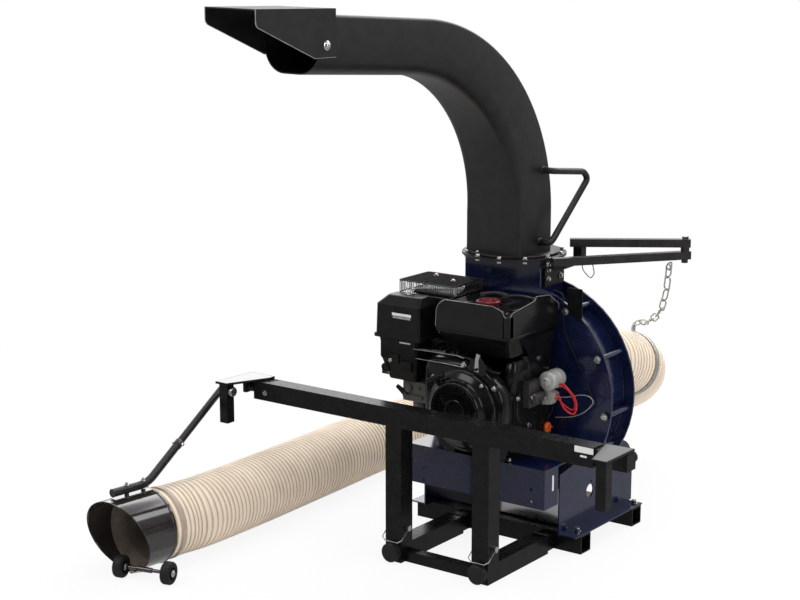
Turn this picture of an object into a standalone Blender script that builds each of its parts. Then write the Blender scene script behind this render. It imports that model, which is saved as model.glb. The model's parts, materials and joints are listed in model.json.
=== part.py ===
"""Leaf vacuum on a skid: engine, fan housing, discharge chute, suction hose and nozzle.

Metres, +Z up, standing on z = 0. The engine's crankshaft lies along Y at x = 0, the engine is
toward -Y and the fan toward +Y. y = 0 is the middle of the front cross tube.
"""

import math

import bmesh
import bpy
from mathutils import Matrix, Vector

for old in list(bpy.data.objects):
    bpy.data.objects.remove(old, do_unlink=True)

# Clearance between pieces that touch, and the overlap that a join or a cut is given
GAP = 0.0003
LAP = 0.002

# Square tube of the frame
TUBE = 0.0508
TUBE_WALL = 0.004
SLEEVE = TUBE - 2 * TUBE_WALL - 2 * GAP
CROSS_LENGTH = 0.540
REAR_CROSS_Y = 0.280
RAIL_X = {"left": -0.105, "right": 0.170}
RAIL_START_Y = -0.071
RAIL_LENGTH = 0.293
RAIL_END_Y = RAIL_START_Y - RAIL_LENGTH
STUB_DEPTH = 0.060
FRONT_RAIL = 0.030
FRONT_RAIL_WALL = 0.003
FRONT_RAIL_INSET = 0.034
BUMPER_RADIUS = 0.026
BUMPER_THICKNESS = 0.020
BUMPER_Z = 0.0285
POST_Y = RAIL_END_Y + TUBE / 2
POST_STUB = 0.060
BEAM_Z = 0.370
BEAM_LEFT = -0.586
BEAM_RIGHT = 0.496
POST_TOP = BEAM_Z - GAP

# Wire lock pins through the posts
PIN_RADIUS = 0.00475
PIN_Z = 0.092
PIN_HEAD_RADIUS = 0.008
PIN_HEAD = 0.010
BAIL_RADIUS = 0.0016
BAIL_DROP = 0.034

# Sliding brackets in the beam ends
BRACKET_PLATE = 0.006
ARM_INSIDE = 0.120
STAKE = 0.028
STAKE_BOTTOM = {"left": 0.310, "right": 0.300}
KNOB_RADIUS = 0.013
KNOB_LENGTH = 0.014

# Navy sheet metal
SHEET = 0.004
SIDE_X = 0.2215
SIDE_FRONT_Y = -0.060
SIDE_REAR_Y = 0.335
SIDE_FRONT_TOP = 0.223
FOOT_FLANGE = 0.0485
FOOT_BOLTS = ((0.243, 0.0), (0.251, REAR_CROSS_Y + 0.018))
SIDE_HOLE_RADIUS = 0.019
BASE_FRONT_Y = 0.015
BASE_BACK_Y = 0.310
BED_TOP = 0.253
BED_FRONT_Y = -0.137
BED_BACK_Y = 0.0685
BED_RETURN = 0.068
BED_SKIRT = 0.109

# Fan housing
SHAFT_Z = 0.400
FAN_FRONT_Y = 0.069
FAN_PLATE = 0.006
FAN_DEPTH = 0.126
FAN_RADIUS = 0.300
SCROLL_INSET = 0.032
SCROLL_RADIUS = FAN_RADIUS - SCROLL_INSET
SCROLL_WALL = 0.003
NECK_LEFT = -0.176
NECK_RIGHT = 0.069
NECK_TOP = 0.765
INLET_WALL = 0.003
COLLAR_LENGTH = 0.080
TIE_INSET = 0.016
TIE_RADIUS = FAN_RADIUS - TIE_INSET
TIE_BOLT = 0.005
TIE_ANGLES = (-7, 25, 57, 142, 172, 200, 236, 270, 304, 332)
FAN_BACK_Y = FAN_FRONT_Y + FAN_DEPTH

# Rotor
SHAFT_RADIUS = 0.0127
ROTOR_CLEARANCE = 0.038
ROTOR_RADIUS = SCROLL_RADIUS - ROTOR_CLEARANCE
ROTOR_BLADES = 6
FLYWHEEL_RADIUS = 0.098

# Discharge chute
CHUTE_X = -0.055
CHUTE_Y = 0.132
CHUTE_TURN = math.radians(6)
RING_RADIUS = 0.145
RING_THICKNESS = 0.006
PORT_X = 0.176
PORT_Y = 0.108
CHUTE_WIDTH = 0.190
CHUTE_DEPTH = 0.142
CHUTE_WALL = 0.003
CHUTE_OFFSET = 0.0265
BEND_RADIUS = 0.4735
BEND_Z = 0.884
CHUTE_RISE = math.radians(3.5)
CHUTE_REACH = 0.845

# Deflector cap, measured from the middle of the chute's outlet
CAP_HALF = CHUTE_WIDTH / 2 + GAP
CAP_WALL = 0.003
CAP_BACK = 0.047
CAP_TOP = 0.081
CAP_SLOPE = 0.024
CAP_LOW = 0.028
CAP_RISE_AT = 0.0225
CAP_REACH = 0.2065
CAP_SKEW = 0.022
CAP_PIVOT = (-0.015, -0.0005)
# Rounded lower front corner, as steps back from the front and heights
CAP_CORNER = ((0.006, 0.049), (0.0015, 0.0545), (0.0, 0.061))
CAP_BOLT = 0.006

# Boom and lifting chain
BOOM_SHELF_Z = 0.7492
ARM_UPPER_Z = 0.7890
CHAIN_LINKS = 13
CHAIN_WIRE = 0.0045
CHAIN_WIDTH = 0.021
CHAIN_SAG = (0.030, -0.020, -0.035)

# Engine
ENGINE_BASE = 0.268
TANK_SEAM = 0.606
TANK_HEIGHT = 0.078
MUFFLER_BASE = 0.584
MUFFLER_HEIGHT = 0.076
CASE_HALF = 0.118
CASE_FRONT_Y = -0.150
CASE_TOP = 0.475
CYLINDER_TILT = math.radians(25)
CYLINDER_Y = -0.040
CYLINDER_SEAT = 0.115
HEAD_START = 0.200
HEAD_END = 0.235
BLOWER_FRONT_Y = -0.190
BLOWER_RADIUS = 0.126
RECOIL_FRONT_Y = -0.237
RECOIL_RADIUS = 0.105
GRILLE_RADIUS = 0.075
GRILLE_SLOTS = 14
GRIP_STANDOFF = 0.0051
CASTING = 0.003

# Suction hose and nozzle
HOSE_RADIUS = 0.0965
HOSE_VALLEY = 0.0930
HOSE_BORE = 0.0860
HOSE_SIDES = 8
HOSE_RIBS = 140
HOSE_Z = 0.0985
HOSE_ROUTE = (
    (0.0, FAN_BACK_Y + GAP, SHAFT_Z),
    (0.0, 0.300, SHAFT_Z),
    (0.0, 0.400, SHAFT_Z),
    (0.028, 0.540, 0.388),
    (0.022, 0.690, 0.340),
    (-0.075, 0.830, 0.262),
    (-0.235, 0.905, 0.180),
    (-0.405, 0.875, 0.120),
    (-0.540, 0.750, HOSE_Z),
    (-0.610, 0.560, HOSE_Z),
    (-0.625, 0.290, HOSE_Z),
    (-0.612, -0.050, HOSE_Z),
    (-0.600, -0.350, HOSE_Z),
    (-0.5945, -0.576, 0.1010),
    (-0.6061, -0.6705, 0.1010),
    (-0.6177, -0.765, 0.1010),
)
CLAMP_WIDTH = 0.012
NOZZLE_WALL = 0.002
NOZZLE_LENGTH = 0.117
NOZZLE_OVERLAP = 0.024
NOZZLE_SLANT = math.radians(17)
NOZZLE_SKEW = math.radians(11.3)
WHEEL_RADIUS = 0.030
WHEEL_WIDTH = 0.026
WHEEL_RIGHT = (-0.470, -0.838)
WHEEL_LEFT = (-0.604, -0.874)
AXLE_RADIUS = 0.005
HANDLE_RADIUS = 0.011
HANDLE_WALL = 0.002


def vec(*numbers):
    return Vector(numbers)


def material(name, colour, roughness, metallic=0.0):
    finish = bpy.data.materials.new(name)
    finish.use_nodes = True
    shader = finish.node_tree.nodes["Principled BSDF"]
    shader.inputs["Base Color"].default_value = (*colour, 1.0)
    shader.inputs["Roughness"].default_value = roughness
    shader.inputs["Metallic"].default_value = metallic
    finish.diffuse_color = (*colour, 1.0)
    return finish


def loft(rings, joined_ends=False):
    """Skin rings of equally many points, with flat ends or with the last ring joined to the first."""
    shape = bmesh.new()
    rows = [[shape.verts.new(point) for point in ring] for ring in rings]
    pairs = list(zip(rows, rows[1:]))
    if joined_ends:
        pairs.append((rows[-1], rows[0]))
    for near, far in pairs:
        for here in range(len(near)):
            there = (here + 1) % len(near)
            shape.faces.new((near[here], near[there], far[there], far[here]))
    if not joined_ends:
        shape.faces.new(rows[0][::-1])
        shape.faces.new(rows[-1])
    return shape


def together(*shapes):
    """Put shells that don't touch into one mesh."""
    whole = shapes[0]
    for extra in shapes[1:]:
        mesh = bpy.data.meshes.new("shell")
        extra.to_mesh(mesh)
        extra.free()
        whole.from_mesh(mesh)
        bpy.data.meshes.remove(mesh)
    return whole


def prism(axis, start, end, outline):
    """Extrude an outline along X, Y or Z. The outline's two numbers are the other two axes in order."""
    def place(level, point):
        values = list(point)
        values.insert("XYZ".index(axis), level)
        return values
    return loft([[place(level, point) for point in outline] for level in (start, end)])


def box(low, high):
    return prism("Z", low[2], high[2],
                 ((low[0], low[1]), (high[0], low[1]), (high[0], high[1]), (low[0], high[1])))


def block(centre, size):
    half = vec(*size) / 2
    return box(vec(*centre) - half, vec(*centre) + half)


def across(direction):
    """Two unit vectors square to a direction: a level one and the one above it."""
    direction = direction.normalized()
    level = direction.cross(vec(0, 0, 1))
    if level.length < 1e-4:
        level = vec(1, 0, 0)
    level.normalize()
    return level, level.cross(direction).normalized()


def circle(centre, direction, radius, sides):
    level, above = across(direction)
    turns = [2 * math.pi * step / sides for step in range(sides)]
    return [centre + radius * (math.cos(turn) * level + math.sin(turn) * above) for turn in turns]


def turned(base, direction, profile, sides=20, bored=False):
    """Turn a profile of (radius, height) about a line. A bored piece has a closed profile."""
    base, direction = vec(*base), vec(*direction).normalized()
    rings = [circle(base + height * direction, direction, radius, sides)
             for radius, height in profile]
    return loft(rings, joined_ends=bored)


def rod(start, end, radius, sides=12):
    start, end = vec(*start), vec(*end)
    return turned(start, end - start, ((radius, 0), (radius, (end - start).length)), sides)


def washer(base, direction, inner, outer, length, sides=32):
    profile = ((inner, 0), (outer, 0), (outer, length), (inner, length))
    return turned(base, direction, profile, sides, bored=True)


def smooth_route(points, spacing):
    """Points at even spacing along a smooth curve through the given ones."""
    points = [vec(*point) for point in points]
    fine = []
    for index in range(len(points) - 1):
        before = points[max(index - 1, 0)]
        start, end = points[index], points[index + 1]
        after = points[min(index + 2, len(points) - 1)]
        for step in range(24):
            share = step / 24
            fine.append(0.5 * (2 * start + (end - before) * share
                               + (2 * before - 5 * start + 4 * end - after) * share ** 2
                               + (3 * start - before - 3 * end + after) * share ** 3))
    fine.append(points[-1])
    reach = [0.0]
    for near, far in zip(fine, fine[1:]):
        reach.append(reach[-1] + (far - near).length)
    count = max(round(reach[-1] / spacing), 2)
    evenly = []
    at = 0
    for step in range(count + 1):
        goal = reach[-1] * step / count
        while at < len(fine) - 2 and reach[at + 1] < goal:
            at += 1
        share = (goal - reach[at]) / (reach[at + 1] - reach[at])
        evenly.append(fine[at].lerp(fine[at + 1], share))
    return evenly


def sweep(points, section):
    """Sweep a section along points without twist. section(step) gives (level, above) pairs."""
    points = [vec(*point) for point in points]
    ways = [(far - near).normalized() for near, far in zip(points, points[1:])]
    tangents = [ways[0]] + [(a + b).normalized() for a, b in zip(ways, ways[1:])] + [ways[-1]]
    level, above = across(tangents[0])
    rings = []
    for step, (point, tangent) in enumerate(zip(points, tangents)):
        if step:
            turn = tangents[step - 1].rotation_difference(tangent)
            level, above = turn @ level, turn @ above
        rings.append([point + right * level + up * above for right, up in section(step)])
    return loft(rings)


def round_section(radius, sides, phase=0.0):
    turns = [2 * math.pi * (step + phase) / sides for step in range(sides)]
    return [(radius * math.cos(turn), radius * math.sin(turn)) for turn in turns]


def pipe(points, radius, sides=8):
    outline = round_section(radius, sides)
    return sweep(points, lambda step: outline)


def arc(centre, radius, first, last, steps):
    """Points on an arc from the first angle to the last, in degrees."""
    angles = [math.radians(first + (last - first) * step / steps) for step in range(steps + 1)]
    return [(centre[0] + radius * math.cos(angle), centre[1] + radius * math.sin(angle))
            for angle in angles]


def make(name, finish, body, steps=(), origin=(0, 0, 0), parent=None):
    """Turn a shape into a named object, then join and cut it with the steps in their order."""
    def as_object(shape, label):
        bmesh.ops.recalc_face_normals(shape, faces=shape.faces)
        bmesh.ops.translate(shape, verts=shape.verts, vec=-vec(*origin))
        mesh = bpy.data.meshes.new(label)
        shape.to_mesh(mesh)
        shape.free()
        mesh.materials.append(finish)
        mesh.shade_smooth()
        mesh.set_sharp_from_angle(angle=math.radians(35))
        made = bpy.data.objects.new(label, mesh)
        bpy.context.scene.collection.objects.link(made)
        return made
    piece = as_object(body, name)
    piece.location = origin
    if parent is not None:
        piece.parent = parent
        piece.location = vec(*origin) - parent.matrix_world.translation
    for number, (operation, shape) in enumerate(steps, 1):
        tool = as_object(shape, f"{name}_tool_{number}")
        tool.parent = piece
        tool.hide_render = True
        tool.display_type = "WIRE"
        change = piece.modifiers.new(tool.name, "BOOLEAN")
        change.operation = operation
        change.solver = "EXACT"
        change.object = tool
    bpy.context.view_layer.update()
    return piece


def join(shape):
    return ("UNION", shape)


def cut(shape):
    return ("DIFFERENCE", shape)


BLACK = material("powder_black", (0.012, 0.012, 0.013), 0.45)
NAVY = material("navy_gloss", (0.012, 0.020, 0.075), 0.25)
CHUTE_BLACK = material("chute_black", (0.020, 0.020, 0.021), 0.55)
RUBBER = material("rubber", (0.015, 0.015, 0.015), 0.8)
ZINC = material("zinc", (0.62, 0.62, 0.60), 0.3, 1.0)
ENGINE = material("engine_black", (0.018, 0.018, 0.019), 0.35)
CASTING_GREY = material("casting", (0.10, 0.10, 0.10), 0.5, 0.6)
PLASTIC = material("engine_plastic", (0.016, 0.016, 0.016), 0.3)
CAP_RED = material("cap_red", (0.20, 0.010, 0.012), 0.4)
CABLE_RED = material("cable_red", (0.55, 0.01, 0.015), 0.4)
STARTER = material("starter_grey", (0.55, 0.55, 0.53), 0.4, 0.3)
ARM = material("arm_grey", (0.035, 0.032, 0.030), 0.4)
HOSE_TAN = material("hose_tan", (0.60, 0.50, 0.37), 0.55)
NOZZLE_DARK = material("nozzle_dark", (0.030, 0.026, 0.024), 0.2, 0.6)
STEEL = material("steel", (0.35, 0.35, 0.35), 0.35, 1.0)
ORANGE = material("filler_orange", (0.60, 0.08, 0.01), 0.5)


def square_tube(axis, start, end, centre, size, wall):
    """The tube's solid and the longer cutter of its bore, along an axis and centred on two numbers."""
    def outline(half):
        a, b = centre
        return ((a - half, b - half), (a + half, b - half), (a + half, b + half), (a - half, b + half))
    solid = prism(axis, start, end, outline(size / 2))
    bore = prism(axis, start - 0.01, end + 0.01, outline(size / 2 - wall))
    return solid, cut(bore)


def cross_tubes():
    half = CROSS_LENGTH / 2
    solid, bore = square_tube("X", -half, half, (0, TUBE / 2), TUBE, TUBE_WALL)
    stub_end = RAIL_START_Y - STUB_DEPTH
    stubs = [box((x - SLEEVE / 2, stub_end, TUBE / 2 - SLEEVE / 2),
                 (x + SLEEVE / 2, -TUBE / 2 + LAP, TUBE / 2 + SLEEVE / 2)) for x in RAIL_X.values()]
    make("cross_tube_front", BLACK, solid, (bore, join(together(*stubs))))
    solid, bore = square_tube("X", -half, half, (REAR_CROSS_Y, TUBE / 2), TUBE, TUBE_WALL)
    make("cross_tube_rear", BLACK, solid, (bore,))


def ring_and_posts():
    for side, x in RAIL_X.items():
        hole = rod((x - TUBE, POST_Y, PIN_Z), (x + TUBE, POST_Y, PIN_Z), PIN_RADIUS + GAP)
        stub = block((x, POST_Y, TUBE + POST_STUB / 2 - LAP), (SLEEVE, SLEEVE, POST_STUB))
        solid, bore = square_tube("Y", RAIL_END_Y, RAIL_START_Y, (x, TUBE / 2), TUBE, TUBE_WALL)
        make(f"ring_rail_{side}", BLACK, solid, (bore, join(stub), cut(hole)))

        hole = rod((x - TUBE, POST_Y, PIN_Z), (x + TUBE, POST_Y, PIN_Z), PIN_RADIUS + GAP)
        solid, bore = square_tube("Z", TUBE + GAP, POST_TOP, (x, POST_Y), TUBE, TUBE_WALL)
        make(f"post_{side}", BLACK, solid, (bore, cut(hole)))

        face = RAIL_END_Y - GAP
        disc = turned((x, face - BUMPER_THICKNESS, BUMPER_Z), (0, 1, 0),
                      ((BUMPER_RADIUS - 0.003, 0), (BUMPER_RADIUS, 0.003),
                       (BUMPER_RADIUS, BUMPER_THICKNESS)), 28)
        plug = box((x - SLEEVE / 2, face - LAP, TUBE / 2 - SLEEVE / 2),
                   (x + SLEEVE / 2, RAIL_END_Y + 0.015, TUBE / 2 + SLEEVE / 2))
        make(f"bumper_{side}", RUBBER, disc, (join(plug),))

        right = x + TUBE / 2 + GAP
        left = x - TUBE / 2 - GAP
        front = POST_Y - TUBE / 2 - 0.004
        tip = left - 0.012
        pin = rod((tip, POST_Y, PIN_Z), (right + LAP, POST_Y, PIN_Z), PIN_RADIUS)
        head = rod((right, POST_Y, PIN_Z), (right + PIN_HEAD, POST_Y, PIN_Z), PIN_HEAD_RADIUS)
        loop = pipe(((right + PIN_HEAD / 2, POST_Y, PIN_Z - PIN_HEAD_RADIUS / 2),
                     (right + PIN_HEAD / 2, front, PIN_Z - BAIL_DROP * 0.8),
                     (right - 0.006, front - 0.006, PIN_Z - BAIL_DROP),
                     (left + 0.006, front - 0.006, PIN_Z - BAIL_DROP),
                     (tip + 0.005, front, PIN_Z - BAIL_DROP * 0.8),
                     (tip + 0.005, POST_Y, PIN_Z - PIN_RADIUS / 2)), BAIL_RADIUS, 6)
        make(f"lock_pin_{side}", ZINC, pin, (join(head), join(loop)))

    y = RAIL_END_Y + FRONT_RAIL_INSET
    solid, bore = square_tube("X", RAIL_X["left"] + TUBE / 2 + GAP, RAIL_X["right"] - TUBE / 2 - GAP,
                              (y, FRONT_RAIL / 2), FRONT_RAIL, FRONT_RAIL_WALL)
    make("ring_front_rail", BLACK, solid, (bore,))


def beam_and_brackets():
    solid, bore = square_tube("X", BEAM_LEFT, BEAM_RIGHT, (POST_Y, BEAM_Z + TUBE / 2), TUBE, TUBE_WALL)
    make("beam", BLACK, solid, (bore,))
    centre_z = BEAM_Z + TUBE / 2
    plate_z = BEAM_Z + TUBE + GAP
    low, high = centre_z - SLEEVE / 2, centre_z + SLEEVE / 2
    near, far = POST_Y - SLEEVE / 2, POST_Y + SLEEVE / 2

    # Left bracket: a ribbed round neck leaves the beam and carries the end block and plate
    block_right = BEAM_LEFT - 0.036
    plate = prism("Z", plate_z, plate_z + BRACKET_PLATE,
                  ((-0.650, -0.450), (-0.610, -0.450), (-0.555, -0.330), (-0.555, -0.310), (-0.640, -0.310)))
    stake_x = -0.630
    stake_y = -0.427
    stake = box((stake_x - STAKE / 2, stake_y - STAKE / 2, STAKE_BOTTOM["left"]),
                (stake_x + STAKE / 2, stake_y + STAKE / 2, plate_z + LAP))
    arm = box((BEAM_LEFT + LAP, near, low), (BEAM_LEFT + ARM_INSIDE, far, high))
    ribs = []
    neck_length = BEAM_LEFT + 2 * LAP - block_right
    for rib in range(4):
        at = neck_length * rib / 4
        ribs += [(0.012, at), (0.014, at + 0.002), (0.014, at + 0.005), (0.012, at + 0.0065)]
    ribs += [(0.012, neck_length)]
    neck = turned((block_right - LAP, POST_Y, centre_z), (1, 0, 0), ribs, 12)
    end = box((block_right - 0.012, POST_Y - 0.016, centre_z - 0.016),
              (block_right, POST_Y + 0.016, plate_z + LAP))
    left = make("bracket_left", BLACK, plate, (join(stake), join(end), join(neck), join(arm)),
                (BEAM_LEFT, POST_Y, centre_z))
    knob_at = (stake_x + STAKE / 2 + GAP, stake_y, BEAM_Z + 0.029)
    make("clamp_knob_left", RUBBER,
         turned(knob_at, (1, 0, 0), ((KNOB_RADIUS * 0.6, 0), (KNOB_RADIUS, 0.004),
                                     (KNOB_RADIUS, KNOB_LENGTH - 0.003),
                                     (KNOB_RADIUS * 0.8, KNOB_LENGTH)), 12),
         origin=knob_at, parent=left)

    # Right bracket: the square arm itself shows beyond the beam
    plate = prism("Z", plate_z, plate_z + BRACKET_PLATE,
                  ((0.547, -0.462), (0.588, -0.462), (0.588, -0.327), (0.509, -0.330)))
    stake_x, stake_y = 0.5675, -0.4375
    stake = box((stake_x - STAKE / 2, stake_y - STAKE / 2, STAKE_BOTTOM["right"]),
                (stake_x + STAKE / 2, stake_y + STAKE / 2, plate_z + LAP))
    arm = box((BEAM_RIGHT - ARM_INSIDE, near, low), (0.586, far, high))
    riser = box((0.570, near + 0.004, high - LAP), (0.584, far - 0.004, plate_z + LAP))
    right = make("bracket_right", BLACK, plate, (join(stake), join(riser), join(arm)),
                 (BEAM_RIGHT, POST_Y, centre_z))
    knob_at = (0.572, far + GAP, centre_z + 0.004)
    make("clamp_knob_right", RUBBER,
         turned(knob_at, (0, 1, 0), ((KNOB_RADIUS * 0.6, 0), (KNOB_RADIUS, 0.004),
                                     (KNOB_RADIUS, KNOB_LENGTH - 0.003),
                                     (KNOB_RADIUS * 0.8, KNOB_LENGTH)), 12),
         origin=knob_at, parent=right)


def side_plates():
    bottom = TUBE + GAP
    under_bed = BED_TOP - SHEET - GAP
    under_scroll = SHAFT_Z - math.sqrt(SCROLL_RADIUS ** 2 - (SIDE_X - SHEET) ** 2) - 0.001
    corner = 0.078
    outline = [(SIDE_FRONT_Y, bottom), (SIDE_FRONT_Y, SIDE_FRONT_TOP), (0.020, 0.236),
               (0.040, under_bed), (BED_BACK_Y - 0.004, under_bed), (BED_BACK_Y - 0.004, under_scroll)]
    outline += arc((SIDE_REAR_Y - corner, under_scroll - corner), corner, 90, 0, 6)
    outline += [(SIDE_REAR_Y, bottom)]
    for side, sign in (("left", -1), ("right", 1)):
        inner, outer = sign * (SIDE_X - SHEET), sign * SIDE_X
        plate = prism("X", min(inner, outer), max(inner, outer), outline)
        edge = sign * (SIDE_X + FOOT_FLANGE)
        root = sign * (SIDE_X - SHEET / 2)
        flange = box((min(root, edge), SIDE_FRONT_Y + 0.005, bottom),
                     (max(root, edge), SIDE_REAR_Y - 0.023, bottom + SHEET))
        bolts = [turned((sign * x, y, bottom + SHEET - LAP), (0, 0, 1),
                        ((0.008, 0), (0.008, 0.008)), 6) for x, y in FOOT_BOLTS]
        holes = together(rod((sign * 0.2, 0.100, 0.138), (sign * 0.24, 0.100, 0.138), SIDE_HOLE_RADIUS, 24),
                         rod((sign * 0.2, 0.106, 0.163), (sign * 0.24, 0.106, 0.163), 0.0035, 10))
        steps = [join(flange), join(together(*bolts)), cut(holes)]
        if side == "left":
            # The base sheet lies on both cross tubes and is bent up into the left plate
            steps.insert(0, join(box((root, BASE_FRONT_Y, bottom),
                                     (SIDE_X - SHEET - GAP, BASE_BACK_Y, bottom + SHEET))))
        make(f"side_plate_{side}", NAVY, plate, steps)


def engine_bed():
    skirt = BED_TOP - BED_SKIRT
    body = box((-SIDE_X, BED_FRONT_Y, skirt), (SIDE_X, BED_BACK_Y, BED_TOP))
    inner, wide = SIDE_X - SHEET, SIDE_X + 0.01
    back = BED_FRONT_Y + BED_RETURN
    under = ((-inner, BED_FRONT_Y + SHEET), (inner, BED_FRONT_Y + SHEET), (inner, back), (wide, back),
             (wide, BED_BACK_Y + 0.01), (-wide, BED_BACK_Y + 0.01), (-wide, back), (-inner, back))
    hollow = prism("Z", skirt - 0.01, BED_TOP - SHEET, under)
    spots = ((-0.168, 0.191), (-0.168, 0.156), (0.180, 0.195), (0.180, 0.161))
    holes = [rod((x, BED_FRONT_Y - 0.01, z), (x, BED_FRONT_Y + 0.02, z), 0.004, 10) for x, z in spots]
    make("engine_bed", NAVY, body, (cut(hollow), cut(together(*holes))))


def fan_outline():
    """The round plate with the neck on top and a narrow foot between the side plates."""
    foot = SIDE_X - SHEET - GAP
    shelf = BED_TOP - SHEET
    centre = (0, SHAFT_Z)

    def angle(x, up):
        return math.degrees(math.atan2(up * math.sqrt(FAN_RADIUS ** 2 - x ** 2), x))
    shelf_angle = math.degrees(math.asin((SHAFT_Z - shelf) / FAN_RADIUS))
    points = [(NECK_RIGHT, NECK_TOP)]
    points += arc(centre, FAN_RADIUS, angle(NECK_RIGHT, 1), -shelf_angle, 16)
    points += [(foot, shelf)]
    points += arc(centre, FAN_RADIUS, angle(foot, -1), angle(-foot, -1), 14)
    points += [(-foot, shelf)]
    points += arc(centre, FAN_RADIUS, 180 + shelf_angle, angle(NECK_LEFT, 1), 16)
    points += [(NECK_LEFT, NECK_TOP)]
    return points


def fan_housing():
    outline = fan_outline()
    inner_front = FAN_FRONT_Y + FAN_PLATE
    inner_back = FAN_BACK_Y - FAN_PLATE
    ties = []
    for degrees in TIE_ANGLES:
        x = TIE_RADIUS * math.cos(math.radians(degrees))
        z = SHAFT_Z + TIE_RADIUS * math.sin(math.radians(degrees))
        if z < BED_TOP and abs(x) > SIDE_X - 0.02:
            continue
        ties.append(turned((x, FAN_FRONT_Y - 0.008, z), (0, 1, 0),
                           ((0.0085, 0), (0.0085, 0.0085), (TIE_BOLT, 0.0086),
                            (TIE_BOLT, inner_back - GAP - FAN_FRONT_Y + 0.008)), 6))
    shaft_hole = rod((0, FAN_FRONT_Y - 0.01, SHAFT_Z), (0, inner_front + 0.01, SHAFT_Z), 0.020, 20)
    front = prism("Y", FAN_FRONT_Y, inner_front, outline)
    make("fan_front_plate", NAVY, front, (cut(shaft_hole), join(together(*ties))))

    collar_outer = HOSE_BORE * math.cos(math.pi / HOSE_SIDES) - GAP
    back = prism("Y", inner_back, FAN_BACK_Y, outline)
    collar = turned((0, inner_back + LAP, SHAFT_Z), (0, 1, 0),
                    ((collar_outer, 0), (collar_outer, FAN_PLATE + COLLAR_LENGTH)), 32)
    inlet = rod((0, inner_back - 0.01, SHAFT_Z), (0, FAN_BACK_Y + COLLAR_LENGTH + 0.02, SHAFT_Z),
                collar_outer - INLET_WALL, 32)
    make("fan_back_plate", NAVY, back, (join(collar), cut(inlet)))

    def crossing(x, radius):
        return math.degrees(math.atan2(math.sqrt(radius ** 2 - x ** 2), x))
    centre = (0, SHAFT_Z)
    small = SCROLL_RADIUS - SCROLL_WALL
    left, right = NECK_LEFT, NECK_RIGHT
    left_in, right_in = left + SCROLL_WALL, right - SCROLL_WALL
    band = [(right, NECK_TOP)]
    band += arc(centre, SCROLL_RADIUS, crossing(right, SCROLL_RADIUS),
                crossing(left, SCROLL_RADIUS) - 360, 34)
    band += [(left, NECK_TOP), (left_in, NECK_TOP)]
    band += arc(centre, small, crossing(left_in, small) - 360, crossing(right_in, small), 34)
    band += [(right_in, NECK_TOP)]
    make("fan_wrapper", NAVY, prism("Y", inner_front + GAP, inner_back - GAP, band))


def rotor():
    """Crankshaft with the flywheel in front and the fan behind, on one axis."""
    fan_y = FAN_FRONT_Y + FAN_PLATE + 0.010
    shaft = turned((0, BLOWER_FRONT_Y + 0.012, SHAFT_Z), (0, 1, 0),
                   ((SHAFT_RADIUS, 0), (SHAFT_RADIUS, fan_y + 0.075 - BLOWER_FRONT_Y - 0.012)), 20)
    flywheel = rod((0, CASE_FRONT_Y - 0.026, SHAFT_Z), (0, CASE_FRONT_Y - 0.006, SHAFT_Z),
                   FLYWHEEL_RADIUS, 24)
    hub = rod((0, fan_y - 0.004, SHAFT_Z), (0, fan_y + 0.070, SHAFT_Z), 0.028, 20)
    disc = rod((0, fan_y, SHAFT_Z), (0, fan_y + 0.005, SHAFT_Z), ROTOR_RADIUS, 28)
    blades = []
    for index in range(ROTOR_BLADES):
        blade = box((0.020, fan_y + LAP, -0.003), (ROTOR_RADIUS - 0.004, fan_y + 0.080, 0.003))
        turn = Matrix.Rotation(2 * math.pi * index / ROTOR_BLADES, 3, "Y")
        bmesh.ops.transform(blade, verts=blade.verts, matrix=turn.to_4x4())
        bmesh.ops.translate(blade, verts=blade.verts, vec=(0, 0, SHAFT_Z))
        blades.append(join(blade))
    make("rotor", STEEL, shaft, (join(flywheel), join(disc), join(hub), *blades),
         (0, FAN_FRONT_Y, SHAFT_Z))


def chute_frame(d, side, z):
    """World point from the distance toward the outlet, the side offset and the height."""
    out = vec(-math.sin(CHUTE_TURN), -math.cos(CHUTE_TURN), 0)
    across_way = vec(math.cos(CHUTE_TURN), -math.sin(CHUTE_TURN), 0)
    return vec(CHUTE_X, CHUTE_Y, z) + d * out + side * across_way


def chute_line(extra_start, extra_end):
    """Centre line of the elbow as (distance, height) pairs with their share of the way."""
    start = NECK_TOP + RING_THICKNESS + 2 * GAP
    line = [(CHUTE_OFFSET, start - extra_start), (CHUTE_OFFSET, BEND_Z)]
    centre = (CHUTE_OFFSET + BEND_RADIUS, BEND_Z)
    line += arc(centre, BEND_RADIUS, 180, 90 + math.degrees(CHUTE_RISE), 10)[1:]
    last = line[-1]
    for reach in (0.5, 1.0):
        end = CHUTE_REACH + (extra_end if reach == 1.0 else 0.0)
        d = last[0] + (end - last[0]) * reach
        line.append((d, last[1] + (d - last[0]) * math.tan(CHUTE_RISE)))
    return line


def chute_tube(inset, extra_start, extra_end):
    """Box duct that keeps a flat top and rounds its lower side toward the outlet."""
    line = chute_line(extra_start, extra_end)
    rings = []
    for index, (d, z) in enumerate(line):
        near = line[max(index - 1, 0)]
        far = line[min(index + 1, len(line) - 1)]
        way = vec(far[0] - near[0], far[1] - near[1]).normalized()
        outward = vec(-way.y, way.x)
        share = max(0.0, (index - 2) / (len(line) - 3))
        top, low = 0.006 - inset * 0.5, 0.008 + 0.060 * share - inset * 0.8
        w, h = CHUTE_WIDTH / 2 - inset, CHUTE_DEPTH / 2 - inset
        corners = (arc((w - top, h - top), top, 0, 90, 1) + arc((-w + top, h - top), top, 90, 180, 1)
                   + arc((-w + low, -h + low), low, 180, 270, 3) + arc((w - low, -h + low), low, 270, 360, 3))
        rings.append([chute_frame(d + up * outward.x, side, z + up * outward.y)
                      for side, up in corners])
    return loft(rings)


def cap_top(d, wall):
    """Height of the cap's top plate, which rises toward its front."""
    return CAP_TOP + wall + CAP_SLOPE * (d + CAP_BACK)


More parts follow.
